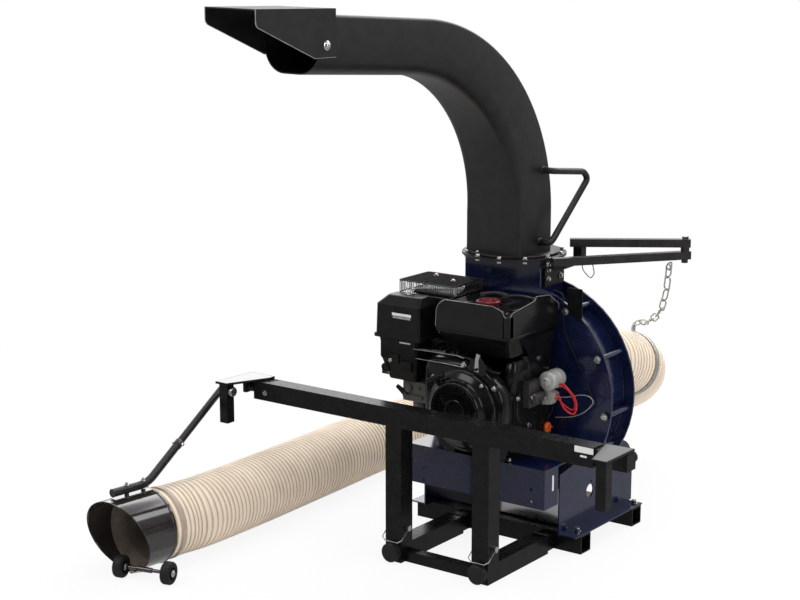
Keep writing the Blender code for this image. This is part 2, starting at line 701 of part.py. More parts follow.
def cap_side(shift):
    """Outline of a side plate, with its front moved back by the shift."""
    front = CAP_REACH - shift
    return [(-CAP_BACK, cap_top(-CAP_BACK, CAP_WALL)), (-CAP_BACK, -CAP_LOW),
            (CAP_RISE_AT - shift, -CAP_LOW), *((front - back, z) for back, z in CAP_CORNER),
            (front, cap_top(front, CAP_WALL))]


def chute():
    pivot = (CHUTE_X, CHUTE_Y, NECK_TOP + RING_THICKNESS)
    outlet = vec(*chute_line(0, 0)[-1])
    hinge = outlet + vec(*CAP_PIVOT)
    ring = rod((CHUTE_X, CHUTE_Y, NECK_TOP + GAP), (CHUTE_X, CHUTE_Y, NECK_TOP + RING_THICKNESS),
               RING_RADIUS, 40)
    port = block((CHUTE_X, CHUTE_Y, NECK_TOP), (PORT_X, PORT_Y, 0.04))
    bolts = []
    for index in range(12):
        turn = 2 * math.pi * (index + 0.5) / 12
        x = CHUTE_X + (RING_RADIUS - 0.010) * math.cos(turn)
        y = CHUTE_Y + (RING_RADIUS - 0.010) * math.sin(turn)
        bolts.append(turned((x, y, NECK_TOP - 0.006), (0, 0, 1), ((0.006, 0), (0.006, 0.008)), 6))
    make("chute_ring", CHUTE_BLACK, ring, (join(together(*bolts)), cut(port)))

    flange_z = NECK_TOP + RING_THICKNESS + GAP
    flange = rod((CHUTE_X, CHUTE_Y, flange_z), (CHUTE_X, CHUTE_Y, flange_z + RING_THICKNESS),
                 RING_RADIUS - 0.018, 40)
    pins = []
    for sign in (-1, 1):
        start = chute_frame(hinge.x, sign * (CHUTE_WIDTH / 2 - 0.002), hinge.y)
        head = chute_frame(hinge.x, sign * (CAP_HALF + CAP_WALL + GAP), hinge.y)
        profile_end = (head - start).length
        pins.append(turned(start, head - start, ((CAP_BOLT, 0), (CAP_BOLT, profile_end),
                                                 (0.011, profile_end + 0.0001),
                                                 (0.011, profile_end + 0.006)), 12))
    elbow = make("chute_elbow", CHUTE_BLACK, chute_tube(0, -0.002, 0),
                 (join(flange), join(together(*pins)), cut(chute_tube(CHUTE_WALL, 0.02, 0.02))), pivot)

    # Handle bar on the right side of the elbow
    off = CHUTE_WIDTH / 2
    route = [(0.000, off - 0.001, 1.005), (-0.004, off + 0.030, 1.005), (-0.095, off + 0.034, 0.998),
             (-0.140, off + 0.034, 0.988), (-0.152, off + 0.034, 0.965), (-0.010, off + 0.034, 0.822),
             (0.004, off + 0.030, 0.812), (0.010, off - 0.001, 0.812)]
    handle = pipe([chute_frame(*point) for point in route], 0.009, 10)
    make("chute_handle", CHUTE_BLACK, handle, (cut(grown_tube()),), chute_frame(-0.04, off + 0.034, 0.9),
         elbow)

    # Deflector cap: a top and two side plates, open in front and below
    def side_view(outline, side):
        return [chute_frame(outlet.x + d, side, outlet.y + z) for d, z in outline]
    half = CAP_HALF + CAP_WALL
    solid = loft([side_view(cap_side(shift), side) for side, shift in ((-half, CAP_SKEW), (half, 0.0))])
    rear, front, low = -CAP_BACK - 0.02, CAP_REACH + 0.03, -CAP_LOW - 0.05
    room = ((rear, cap_top(rear, 0)), (rear, low), (front, low), (front, cap_top(front, 0)))
    channel = loft([side_view(room, side) for side in (-CAP_HALF, CAP_HALF)])
    holes = rod(chute_frame(hinge.x, -0.12, hinge.y), chute_frame(hinge.x, 0.12, hinge.y),
                CAP_BOLT + GAP, 12)
    make("deflector_cap", CHUTE_BLACK, solid, (cut(channel), cut(holes)),
         chute_frame(hinge.x, 0, hinge.y), elbow)


def grown_tube():
    """The elbow's outside with the touching clearance, which trims what is set against it."""
    return chute_tube(-GAP, 0.0, 0.0)


def boom():
    """Bracket on the neck, two arms that meet at a tip bolt, and the chain that lifts the hose."""
    wall = NECK_RIGHT + GAP
    shelf = BOOM_SHELF_Z
    plate = box((wall, 0.085, 0.690), (wall + 0.006, 0.180, shelf + 0.006))
    table = prism("Z", shelf, shelf + 0.006,
                  ((wall + LAP, 0.060), (0.125, 0.055), (0.140, 0.085), (0.128, 0.235), (0.100, 0.235),
                   (wall + LAP, 0.180)))
    riser = box((0.096, 0.196, shelf + LAP), (0.122, 0.222, ARM_UPPER_Z - GAP))
    make("boom_bracket", BLACK, plate, (join(table), join(riser)))

    size = 0.022
    tip = vec(0.345, 0.375, 0)
    rise = ARM_UPPER_Z - shelf - 0.006 - GAP

    def arm(start, z):
        start = vec(start[0], start[1], 0)
        way = (tip - start).normalized()
        side = vec(-way.y, way.x, 0) * size / 2
        end = tip + way * 0.014
        ring = [start - side, end - side, end + side, start + side]
        return loft([[point + vec(0, 0, level) for point in ring] for level in (z, z + size)])
    lower_z = shelf + 0.006 + GAP
    head = 0.010
    bolt = turned((tip.x, tip.y, lower_z - head), (0, 0, 1),
                  ((0.009, 0), (0.009, head - GAP), (0.005, head - GAP + 0.0001),
                   (0.005, head + size + GAP), (0.012, head + size + GAP + 0.0001),
                   (0.012, head + rise + LAP), (0.005, head + rise + 0.0025),
                   (0.005, head + rise + size - 0.0005), (0.009, head + rise + size - 0.0004),
                   (0.009, head + rise + size + 0.007)), 12)
    hole = rod((tip.x, tip.y, lower_z - 0.01), (tip.x, tip.y, lower_z + size + 0.01), 0.005 + GAP, 12)
    make("boom_upper", ARM, arm((0.085, 0.196), ARM_UPPER_Z), (join(bolt),))
    make("boom_lower", ARM, arm((0.108, 0.068), lower_z), (cut(hole),))
    return tip, lower_z - head


def stadium(centre, long_way, wide_way, length, width, wire):
    """One chain link as a closed loop of wire."""
    path = []
    straight = (length - width) / 2
    radius = (width - wire) / 2
    for sign in (1, -1):
        for step in range(4):
            turn = math.pi * (step / 3 - 0.5)
            path.append(centre + sign * long_way * (straight + radius * math.cos(turn))
                        + sign * wide_way * radius * math.sin(turn))
    normal = long_way.cross(wide_way)
    rings = []
    for index, point in enumerate(path):
        before, after = path[index - 1], path[(index + 1) % len(path)]
        outward = normal.cross((after - before).normalized())
        rings.append([point + wire / 2 * (math.cos(turn) * outward + math.sin(turn) * normal)
                      for turn in (math.pi * (side + 0.5) / 2 for side in range(4))])
    return loft(rings, joined_ends=True)


def chain_and_strap(tip, bolt_bottom):
    route = smooth_route(HOSE_ROUTE, 0.0125)
    at = min(route, key=lambda point: abs(point.y - 0.560) + (0 if point.z > 0.3 else 1))
    index = route.index(at)
    way = (route[index + 1] - route[index - 1]).normalized()
    inner = HOSE_RADIUS + GAP
    width = 0.020
    flat = inner / math.cos(math.pi / 24)
    ring = washer(at - way * width / 2, way, flat, flat + 0.003, width, 24)
    above = across(way)[1]
    side = across(way)[0]
    foot = at + above * (flat + 0.001)
    tab = loft([[foot + lift * above + a * 0.006 * way + b * 0.003 * side
                 for a, b in ((-1, -1), (1, -1), (1, 1), (-1, 1))] for lift in (0, 0.026)])
    make("hose_strap", ZINC, ring, (join(tab),))

    top = vec(tip.x, tip.y, bolt_bottom - GAP)
    low = foot + above * (0.026 + 2 * GAP)
    wire = CHAIN_WIRE
    lap = 0.9 * wire
    span = low - top
    bends = []
    for number in range(CHAIN_LINKS + 1):
        share = number / CHAIN_LINKS
        bends.append(top + span * share + vec(*CHAIN_SAG) * math.sin(math.pi * share))
    bends[0] += (bends[1] - bends[0]).normalized() * (lap - 0.0009)
    bends[-1] += (bends[-2] - bends[-1]).normalized() * (lap + 0.0040)
    links = []
    for number, (near, far) in enumerate(zip(bends, bends[1:])):
        long_way = (far - near).normalized()
        wide_way = across(long_way)[number % 2]
        links.append(stadium((near + far) / 2, long_way, wide_way, (far - near).length + 1.9 * lap,
                             CHAIN_WIDTH, wire))
    make("chain", ZINC, links[0], [join(link) for link in links[1:]])


def engine():
    seat = CYLINDER_SEAT
    cos, sin = math.cos(CYLINDER_TILT), math.sin(CYLINDER_TILT)
    seat_low = (-CASE_HALF, SHAFT_Z + (seat - CASE_HALF * cos) / sin)
    seat_high = (-(seat - (CASE_TOP - SHAFT_Z) * sin) / cos, CASE_TOP)
    outline = ((-0.105, ENGINE_BASE), (0.105, ENGINE_BASE), (CASE_HALF, 0.300), (CASE_HALF, 0.440),
               (0.092, CASE_TOP), seat_high, seat_low, (-CASE_HALF, 0.300))
    case = prism("Y", CASE_FRONT_Y, 0.050, outline)
    cover = turned((0, 0.045, SHAFT_Z), (0, 1, 0),
                   ((0.110, 0), (0.110, 0.012), (0.085, FAN_FRONT_Y - GAP - 0.045)), 28)
    feet = [box((x - 0.016, -0.140, BED_TOP + GAP), (x + 0.016, 0.040, ENGINE_BASE + LAP))
            for x in (-0.080, 0.080)]
    bore = rod((0, CASE_FRONT_Y - 0.01, SHAFT_Z), (0, 0.080, SHAFT_Z), SHAFT_RADIUS + GAP, 20)
    make("crankcase", ENGINE, case, (join(cover), join(together(*feet)), cut(bore)))

    def local(u, w, y):
        """Point along the cylinder's axis (u), across it (w) and along the shaft."""
        return vec(-u * cos + w * sin, y, SHAFT_Z + u * sin + w * cos)

    def slab(u_low, u_high, half_w, half_y):
        ends = []
        for u in (u_low, u_high):
            ends.append([local(u, w, CYLINDER_Y + y) for w, y in
                         ((-half_w, -half_y), (half_w, -half_y), (half_w, half_y), (-half_w, half_y))])
        return loft(ends)
    fins = [slab(u, u + 0.004, 0.056, 0.062) for u in
            (seat + 0.014, seat + 0.026, seat + 0.038, seat + 0.050, seat + 0.062)]
    head = slab(HEAD_START, HEAD_END, 0.054, 0.058)
    make("cylinder", CASTING_GREY, slab(seat + GAP, HEAD_START + LAP, 0.042, 0.048),
         (join(together(*fins)), join(head)))
    rim = [[local(u, w * k, CYLINDER_Y + y * k) for w, y in
            ((-0.040, -0.036), (-0.030, -0.046), (0.030, -0.046), (0.040, -0.036),
             (0.040, 0.036), (0.030, 0.046), (-0.030, 0.046), (-0.040, 0.036))]
           for u, k in ((HEAD_END + GAP, 1.0), (HEAD_END + 0.030, 1.0), (HEAD_END + 0.040, 0.86))]
    make("valve_cover", ENGINE, loft(rim))

    # Blower housing: a round shell in front of the case, open to the back
    shell = arc((0, SHAFT_Z), BLOWER_RADIUS, -150, 75, 22)
    shell += [(-0.020, 0.528), (-0.135, 0.520), (-0.135, 0.380)]
    inside = arc((0, SHAFT_Z), BLOWER_RADIUS - CASTING, -150, 75, 22)
    inside += [(-0.020, 0.525), (-0.132, 0.517), (-0.132, 0.380)]
    mouth = turned((0, BLOWER_FRONT_Y - 0.01, SHAFT_Z), (0, 1, 0), ((0.080, 0), (0.080, 0.04)), 28)
    peg = rod((0.040, BLOWER_FRONT_Y - 0.006, 0.512), (0.040, BLOWER_FRONT_Y + LAP, 0.512), 0.004, 8)
    make("blower_housing", ENGINE, prism("Y", BLOWER_FRONT_Y, CASE_FRONT_Y - GAP, shell),
         (cut(prism("Y", BLOWER_FRONT_Y + CASTING, CASE_FRONT_Y + 0.01, inside)), cut(mouth), join(peg)))

    # Recoil cover with its radial slots
    cup_back = BLOWER_FRONT_Y - GAP
    depth = cup_back - RECOIL_FRONT_Y
    cup = turned((0, RECOIL_FRONT_Y, SHAFT_Z), (0, 1, 0),
                 ((GRILLE_RADIUS - 0.004, 0), (GRILLE_RADIUS, 0.004), (GRILLE_RADIUS + 0.006, 0.020),
                  (RECOIL_RADIUS - 0.010, 0.026), (RECOIL_RADIUS, 0.034), (RECOIL_RADIUS, depth)), 24)
    hollow = turned((0, RECOIL_FRONT_Y + CASTING, SHAFT_Z), (0, 1, 0),
                    ((GRILLE_RADIUS - 0.004, 0), (GRILLE_RADIUS + 0.002, 0.020),
                     (RECOIL_RADIUS - 0.012, 0.028), (RECOIL_RADIUS - CASTING, 0.034),
                     (RECOIL_RADIUS - CASTING, depth + 0.01)), 24)
    slots = []
    for index in range(GRILLE_SLOTS):
        slot = box((0.030, RECOIL_FRONT_Y - 0.01, -0.004), (0.064, RECOIL_FRONT_Y + 0.01, 0.004))
        turn = Matrix.Rotation(2 * math.pi * index / GRILLE_SLOTS, 3, "Y")
        bmesh.ops.transform(slot, verts=slot.verts, matrix=turn.to_4x4())
        bmesh.ops.translate(slot, verts=slot.verts, vec=(0, 0, SHAFT_Z))
        slots.append(slot)
    make("recoil_cover", ENGINE, cup, (cut(hollow), cut(together(*slots))))

    pull = vec(-0.30, -0.62, 0.72).normalized()
    grip_at = vec(-0.064, RECOIL_FRONT_Y + 0.026, SHAFT_Z + 0.064) + pull * GRIP_STANDOFF
    grip = turned(grip_at, pull, ((0.006, 0), (0.009, 0.008), (0.009, 0.012)), 12)
    bar_way = vec(1, 0, 0.42).normalized()
    bar = rod(grip_at + pull * 0.016 - bar_way * 0.030, grip_at + pull * 0.016 + bar_way * 0.030, 0.007, 12)
    make("recoil_handle", PLASTIC, grip, (join(bar),), tuple(grip_at))

    tank_and_air(local)
    electrics_and_levers()


def rounded(x0, x1, y0, y1, corner):
    """Outline of a rectangle with cut corners."""
    return ((x0 + corner, y0), (x1 - corner, y0), (x1, y0 + corner), (x1, y1 - corner),
            (x1 - corner, y1), (x0 + corner, y1), (x0, y1 - corner), (x0, y0 + corner))


def stack(levels):
    """Loft cut-cornered rectangles given as (z, x0, x1, y0, y1, corner)."""
    return loft([[(x, y, z) for x, y in rounded(x0, x1, y0, y1, corner)]
                 for z, x0, x1, y0, y1, corner in levels])


def tank_and_air(local):
    bracket_top = 0.5397
    base = box((-0.086, -0.050, CASE_TOP + GAP), (0.125, 0.042, CASE_TOP + 0.006))
    legs = together(box((-0.086, -0.050, CASE_TOP + LAP), (-0.062, 0.042, bracket_top)),
                    box((0.084, -0.050, CASE_TOP + LAP), (0.125, 0.042, bracket_top)))
    make("tank_bracket", ENGINE, base, (join(legs),))

    tank_top = TANK_SEAM + TANK_HEIGHT
    tank = stack(((bracket_top + GAP, -0.088, 0.118, -0.150, 0.048, 0.022),
                  (0.596, -0.098, 0.128, -0.176, 0.058, 0.020),
                  (0.597, -0.103, 0.133, -0.181, 0.062, 0.022),
                  (0.605, -0.103, 0.133, -0.181, 0.062, 0.022),
                  (TANK_SEAM, -0.099, 0.129, -0.177, 0.058, 0.020),
                  (tank_top - 0.012, -0.099, 0.129, -0.175, 0.058, 0.020),
                  (tank_top, -0.088, 0.118, -0.164, 0.050, 0.020)))
    make("fuel_tank", ENGINE, tank)
    cap_at = (0.026, -0.118, tank_top + GAP)
    cap = ((0.026, 0), (0.026, 0.004), (0.032, 0.005), (0.032, 0.014), (0.028, 0.018))
    make("fuel_cap", CAP_RED, turned(cap_at, (0, 0, 1), cap, 24), origin=cap_at)

    make("air_cleaner_base", PLASTIC,
         stack(((0.440, -0.262, -0.168, -0.178, -0.112, 0.010),
                (0.500, -0.287, -0.160, -0.185, -0.1060, 0.010),
                (0.5545, -0.287, -0.160, -0.185, -0.1060, 0.010))))
    cover = stack(((0.5550, -0.294, -0.152, -0.186, -0.094, 0.010),
                   (0.560, -0.300, -0.146, -0.190, -0.090, 0.012),
                   (0.655, -0.300, -0.146, -0.190, -0.090, 0.012),
                   (0.672, -0.290, -0.156, -0.180, -0.100, 0.012)))
    make("air_cleaner_cover", PLASTIC, cover)
    knob_at = (-0.222, -0.128, 0.672 + GAP)
    make("air_cleaner_knob", ZINC,
         turned(knob_at, (0, 0, 1), ((0.009, 0), (0.009, 0.004), (0.005, 0.006), (0.005, 0.010)), 12),
         (join(block((knob_at[0], knob_at[1], knob_at[2] + 0.011), (0.026, 0.004, 0.012))),), knob_at)

    carb = box((-0.215, -0.170, 0.385), (-0.140, -0.1026, 0.4397))
    bowl = rod((-0.178, -0.140, 0.362), (-0.178, -0.140, 0.387), 0.020, 16)
    peg = rod((-0.205, -0.176, 0.405), (-0.205, -0.168, 0.405), 0.003, 8)
    make("carburettor", CASTING_GREY, carb, (join(bowl), join(peg)))

    muffler_top = MUFFLER_BASE + MUFFLER_HEIGHT
    body = stack(((MUFFLER_BASE, -0.262, -0.120, -0.058, 0.050, 0.016),
                  (MUFFLER_BASE + 0.008, -0.268, -0.114, -0.064, 0.056, 0.018),
                  (muffler_top - 0.010, -0.268, -0.114, -0.064, 0.056, 0.018),
                  (muffler_top, -0.260, -0.120, -0.056, 0.048, 0.018)))
    pipe_foot = local(0.216, 0.054 + GAP, CYLINDER_Y)
    exhaust = pipe((pipe_foot, pipe_foot + vec(0.006, 0, 0.013), pipe_foot + vec(0.008, 0, 0.050)), 0.014, 12)
    make("muffler", ENGINE, body, (join(exhaust),))
    guard_z = muffler_top + GAP
    top = stack(((guard_z, -0.292, -0.1035, -0.088, 0.054, 0.010),
                 (guard_z + 0.030, -0.292, -0.1035, -0.088, 0.054, 0.010),
                 (guard_z + 0.038, -0.286, -0.1095, -0.082, 0.048, 0.010)))
    vents = []
    for row in range(6):
        y = -0.070 + row * 0.0205
        vents.append(box((-0.276, y, guard_z - 0.01), (-0.206, y + 0.013, guard_z + 0.05)))
        vents.append(box((-0.190, y, guard_z - 0.01), (-0.120, y + 0.013, guard_z + 0.05)))
    make("muffler_guard", ENGINE, top, (cut(together(*vents)),))


def electrics_and_levers():
    starter_at = (0.163, -0.105, 0.476)
    can = turned(starter_at, (0, 1, 0), ((0.024, 0), (0.032, 0.006), (0.032, 0.088), (0.026, 0.096)), 24)
    nose = rod((0.163, -0.118, 0.476), (0.163, -0.103, 0.476), 0.016, 16)
    foot = box((CASE_HALF + GAP, -0.090, 0.395), (0.1400, -0.075, 0.470))
    solenoid = rod((0.150, -0.095, 0.428), (0.150, -0.040, 0.428), 0.016, 16)
    web = box((0.142, -0.085, 0.425), (0.158, -0.050, 0.455))
    make("starter_motor", STARTER, can, (join(nose), join(foot), join(solenoid), join(web)))

    start = vec(0.150 + 0.016 * 0.7071 + GAP, -0.060, 0.428 - 0.016 * 0.7071 - GAP)
    cable = pipe(smooth_route((start, start + vec(0.012, -0.001, -0.012), (0.213, -0.062, 0.400),
                               (0.245, -0.062, 0.402), (0.262, -0.060, 0.425), (0.250, -0.058, 0.450),
                               (0.222, -0.056, 0.458), (0.198, -0.055, 0.4640)), 0.012), 0.0045, 8)
    make("battery_cable", CABLE_RED, cable)

    pivot = (0.040, BLOWER_FRONT_Y - GAP - 0.003, 0.512)
    lever = prism("Y", pivot[1], pivot[1] + 0.003,
                  ((0.033, 0.5055), (0.047, 0.5055), (0.046, 0.537), (0.052, 0.552), (0.040, 0.555),
                   (0.036, 0.537)))
    # The pegs have eight sides, so each hole's flats clear their corners in every turn
    flats = math.cos(math.pi / 8)
    hole = rod((pivot[0], pivot[1] - 0.01, pivot[2]), (pivot[0], pivot[1] + 0.01, pivot[2]),
               (0.004 + GAP) / flats, 8)
    make("throttle_lever", ZINC, lever, (cut(hole),), pivot)

    pivot = (-0.205, -0.1736, 0.405)
    lever = prism("Y", pivot[1], pivot[1] + 0.003,
                  ((-0.213, 0.398), (-0.198, 0.398), (-0.198, 0.411), (-0.232, 0.426), (-0.238, 0.418)))
    hole = rod((pivot[0], pivot[1] - 0.01, pivot[2]), (pivot[0], pivot[1] + 0.01, pivot[2]),
               (0.003 + GAP) / flats, 8)
    make("choke_lever", PLASTIC, lever, (cut(hole),), pivot)

    plug = (CASE_HALF + GAP, 0.030, 0.318)
    knob = ((0.011, 0), (0.014, 0.003), (0.014, 0.014), (0.010, 0.016))
    make("oil_dipstick", ORANGE, turned(plug, (1, 0, 0), knob, 16), origin=plug)


def hose():
    """Ribbed hose: two rings of unlike radius for each rib, with a plainer bore cut through."""
    route = [vec(*point) for point in HOSE_ROUTE]
    coarse = smooth_route(route, 0.001)
    length = sum((far - near).length for near, far in zip(coarse, coarse[1:]))
    points = smooth_route(route, length / (2 * HOSE_RIBS))
    print("hose length", round(length, 3), "rib pitch", round(length / HOSE_RIBS, 4))
    crest = round_section(HOSE_RADIUS, HOSE_SIDES)
    valley = round_section(HOSE_VALLEY, HOSE_SIDES)
    outside = sweep(points, lambda step: crest if step % 2 else valley)
    inner = smooth_route(route, 0.055)
    inner[0] = inner[0] - vec(0, 0.01, 0)
    inner[-1] = inner[-1] + (inner[-1] - inner[-2]).normalized() * 0.01
    bore_section = round_section(HOSE_BORE, HOSE_SIDES)
    bore = sweep(inner, lambda step: bore_section)
    make("hose", HOSE_TAN, outside, (cut(bore),))

    flat = (HOSE_RADIUS + GAP) / math.cos(math.pi / 24)
    crest_at = 3 * length / (2 * HOSE_RIBS)
    start = vec(*HOSE_ROUTE[0]) + vec(0, crest_at - CLAMP_WIDTH / 2, 0)
    band = washer(start, (0, 1, 0), flat, flat + 0.0015, CLAMP_WIDTH, 24)
    screw = rod(start + vec(-0.014, 0.006, flat + 0.004), start + vec(0.014, 0.006, flat + 0.004), 0.005, 8)
    make("hose_clamp_inlet", ZINC, band, (join(screw),))


def nozzle():
    end = vec(*HOSE_ROUTE[-1])
    axis = (end - vec(*HOSE_ROUTE[-2])).normalized()
    level, above = across(axis)
    flat = (HOSE_RADIUS + GAP) / math.cos(math.pi / 24)
    rear = end - axis * NOZZLE_OVERLAP
    clamp_at = rear - axis * 0.034
    band = washer(clamp_at, axis, flat, flat + 0.0015, CLAMP_WIDTH, 24)
    screw_at = clamp_at + axis * 0.006 + (level * -0.5 + above * 0.866) * (flat + 0.004)
    around = axis.cross(level * -0.5 + above * 0.866).normalized()
    screw = rod(screw_at - around * 0.014, screw_at + around * 0.014, 0.005, 8)
    make("hose_clamp_nozzle", ZINC, band, (join(screw),))

    outer = flat + NOZZLE_WALL
    body = washer(rear, axis, flat, outer, NOZZLE_LENGTH + 0.060, 24)
    mouth = rear + axis * NOZZLE_LENGTH
    # The mouth is cut askew: its top and its left side reach further forward
    slant = (axis - above * math.tan(NOZZLE_SLANT) - level * math.tan(NOZZLE_SKEW)).normalized()
    slant_side = (level + axis * math.tan(NOZZLE_SKEW)).normalized()
    slant_up = slant.cross(slant_side)
    corner_steps = ((-1, -1), (1, -1), (1, 1), (-1, 1))
    beyond = loft([[mouth + slant * reach + a * 0.2 * slant_side + b * 0.2 * slant_up
                    for a, b in corner_steps] for reach in (0, 0.2)])
    right, left = vec(*WHEEL_RIGHT, WHEEL_RADIUS), vec(*WHEEL_LEFT, WHEEL_RADIUS)
    axle_way = (right - left).normalized()
    axle_end = axle_way * (WHEEL_WIDTH / 2 + 0.004)
    axle = rod(left - axle_end, right + axle_end, AXLE_RADIUS, 12)
    middle = (left + right) / 2
    lip = mouth - above * (outer - 0.001) - axis * 0.050
    tongue_way = (middle - lip)
    tongue_side = across(vec(tongue_way.x, tongue_way.y, 0))[0]
    tongue = loft([[point + a * 0.022 * tongue_side + vec(0, 0, b * 0.002) for a, b in corner_steps]
                   for point in (lip, lip + vec(tongue_way.x, tongue_way.y, 0) * 0.45 + vec(0, 0, 0.002),
                                 middle)])
    saddle = []
    for reach in (0.030, 0.084):
        at = rear + axis * reach + above * (outer - 0.001)
        saddle.append(turned(at, above, ((0.006, 0), (0.006, 0.010)), 8))
    make("nozzle", NOZZLE_DARK, body, (cut(beyond), join(tongue), join(axle), join(together(*saddle))))
    for side, centre in (("left", left), ("right", right)):
        start = centre - axle_way * WHEEL_WIDTH / 2
        tread = ((AXLE_RADIUS + GAP, 0), (0.013, 0), (WHEEL_RADIUS - 0.003, 0.001),
                 (WHEEL_RADIUS, 0.004), (WHEEL_RADIUS, WHEEL_WIDTH - 0.004),
                 (WHEEL_RADIUS - 0.003, WHEEL_WIDTH - 0.001), (0.013, WHEEL_WIDTH),
                 (AXLE_RADIUS + GAP, WHEEL_WIDTH))
        make(f"nozzle_wheel_{side}", RUBBER, turned(start, axle_way, tread, 20, bored=True),
             origin=tuple(centre))

    # Handle: a bent tube on the saddle bolts, with an inner tube that telescopes
    foot = rear + axis * 0.020 + above * (outer + 0.009 + GAP + HANDLE_RADIUS)
    front = foot + axis * 0.110
    bend = foot - axis * 0.004
    top = vec(-0.684, -0.385, 0.390)
    way = (top - bend).normalized()
    joint = bend + way * 0.175
    lower = pipe((front, foot + axis * 0.012, bend - axis * 0.002 + way * 0.012, joint), HANDLE_RADIUS, 16)
    inner = HANDLE_RADIUS - HANDLE_WALL
    bore = rod(bend + way * 0.060, joint + way * 0.02, inner, 16)
    make("handle_lower", ARM, lower, (cut(bore),))
    upper = rod(bend + way * 0.0625, top, inner - GAP, 16)
    sleeve = rod(joint + way * (GAP + 0.002), top, HANDLE_RADIUS - 0.001, 16)
    make("handle_upper", ARM, upper, (join(sleeve),), tuple(joint))


cross_tubes()
ring_and_posts()
beam_and_brackets()
side_plates()
engine_bed()
fan_housing()
rotor()
chute()
chain_and_strap(*boom())
engine()
hose()
nozzle()
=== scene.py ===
"""Looks of the leaf vacuum: camera, light, materials and the detailed pieces that ride on the frame."""

import json
import math

import bmesh
import bpy
from mathutils import Matrix, Vector


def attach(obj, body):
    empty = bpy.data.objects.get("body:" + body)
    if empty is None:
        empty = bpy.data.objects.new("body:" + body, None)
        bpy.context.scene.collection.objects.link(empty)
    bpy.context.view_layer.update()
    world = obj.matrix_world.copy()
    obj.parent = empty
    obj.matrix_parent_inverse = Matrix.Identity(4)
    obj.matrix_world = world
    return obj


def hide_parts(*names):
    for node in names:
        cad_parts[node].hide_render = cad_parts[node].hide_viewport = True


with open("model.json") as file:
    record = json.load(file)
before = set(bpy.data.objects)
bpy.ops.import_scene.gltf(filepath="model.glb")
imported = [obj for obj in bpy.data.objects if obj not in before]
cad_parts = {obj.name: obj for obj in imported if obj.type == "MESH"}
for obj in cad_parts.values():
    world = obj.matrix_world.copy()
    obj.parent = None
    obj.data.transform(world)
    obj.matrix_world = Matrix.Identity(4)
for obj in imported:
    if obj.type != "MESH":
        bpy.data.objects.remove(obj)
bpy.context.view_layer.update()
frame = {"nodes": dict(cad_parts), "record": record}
nodes = frame["nodes"]
scene = bpy.context.scene

# Sizes that part.py has too
SHAFT_Z = 0.4
SIDE_X = 0.2215
BEAM_Z = 0.37
BEAM_TOP = BEAM_Z + 0.0508
CHUTE_X, CHUTE_Y = -0.055, 0.132
CHUTE_TURN = math.radians(6)
NECK_TOP = 0.765
CHUTE_WIDTH, CHUTE_DEPTH = 0.19, 0.142
CHUTE_WALL = 0.003
CHUTE_OFFSET = 0.0265
BEND_RADIUS, BEND_Z = 0.4735, 0.884
CHUTE_RISE = math.radians(3.5)
CHUTE_REACH = 0.845
CAP_HALF, CAP_WALL = 0.0953, 0.003
RING_RADIUS = 0.145
HOSE_RADIUS, HOSE_VALLEY = 0.0965, 0.093
HOSE_ROUTE = ((0.0, 0.1953, 0.4), (0.0, 0.3, 0.4), (0.0, 0.4, 0.4), (0.028, 0.54, 0.388), (0.022, 0.69, 0.34),
        (-0.075, 0.83, 0.262), (-0.235, 0.905, 0.18), (-0.405, 0.875, 0.12), (-0.54, 0.75, 0.0985),
        (-0.61, 0.56, 0.0985), (-0.625, 0.29, 0.0985), (-0.612, -0.05, 0.0985), (-0.6, -0.35, 0.0985),
        (-0.5945, -0.576, 0.101), (-0.6061, -0.6705, 0.101), (-0.6177, -0.765, 0.101))
NOZZLE_LENGTH, NOZZLE_WALL, NOZZLE_OVERLAP = 0.117, 0.002, 0.024
NOZZLE_SLANT, NOZZLE_SKEW = math.radians(17), math.radians(11.3)
WHEEL_RADIUS, WHEEL_WIDTH, AXLE_RADIUS = 0.03, 0.026, 0.005
WHEEL_RIGHT, WHEEL_LEFT = (-0.47, -0.838), (-0.604, -0.874)

# From the pitch counted on the hose that the photo shows; the solid's hose has 140
HOSE_RIBS = 190
# The deflector cap's pivot: how far in front of the chute's turning axis, and its height
CAP_PIVOT = (0.83, 1.379)

UP, FRONT, BACK, RIGHT = (0, 0, 1), (0, -1, 0), (0, 1, 0), (1, 0, 0)


def vec(*numbers):
    return Vector(numbers)


# Shapes

def loft(rings, joined_ends=False):
    """Skin rings of equally many points, with flat ends or with the last ring joined to the first."""
    shape = bmesh.new()
    rows = [[shape.verts.new(point) for point in ring] for ring in rings]
    pairs = list(zip(rows, rows[1:]))
    if joined_ends:
        pairs.append((rows[-1], rows[0]))
    for near, far in pairs:
        for here in range(len(near)):
            there = (here + 1) % len(near)
            shape.faces.new((near[here], near[there], far[there], far[here]))
    if not joined_ends:
        shape.faces.new(rows[0][::-1])
        shape.faces.new(rows[-1])
    return shape


def place(axis, level, points):
    """Points given in a plane that stands square on an axis, at a level along it."""
    at = "XYZ".index(axis)
    return [(*point[:at], level, *point[at:]) for point in points]


def prism(axis, start, end, outline):
    return loft([place(axis, level, outline) for level in (start, end)])


def box(low, high):
    return prism("Z", low[2], high[2], ((low[0], low[1]), (high[0], low[1]), (high[0], high[1]),
            (low[0], high[1])))


def across(direction):
    """Two unit vectors square to a direction: a level one and the one above it."""
    direction = vec(*direction).normalized()
    level = direction.cross(vec(*UP))
    if level.length < 1e-4:
        level = vec(*RIGHT)
    level.normalize()
    return level, level.cross(direction).normalized()


def turns(count, phase=0.0):
    """Angles at even steps around a full turn."""
    return [2 * math.pi * (step + phase) / count for step in range(count)]


def swing(level, above, turn):
    """The unit vector at an angle between two that are square to each other."""
    return math.cos(turn) * level + math.sin(turn) * above


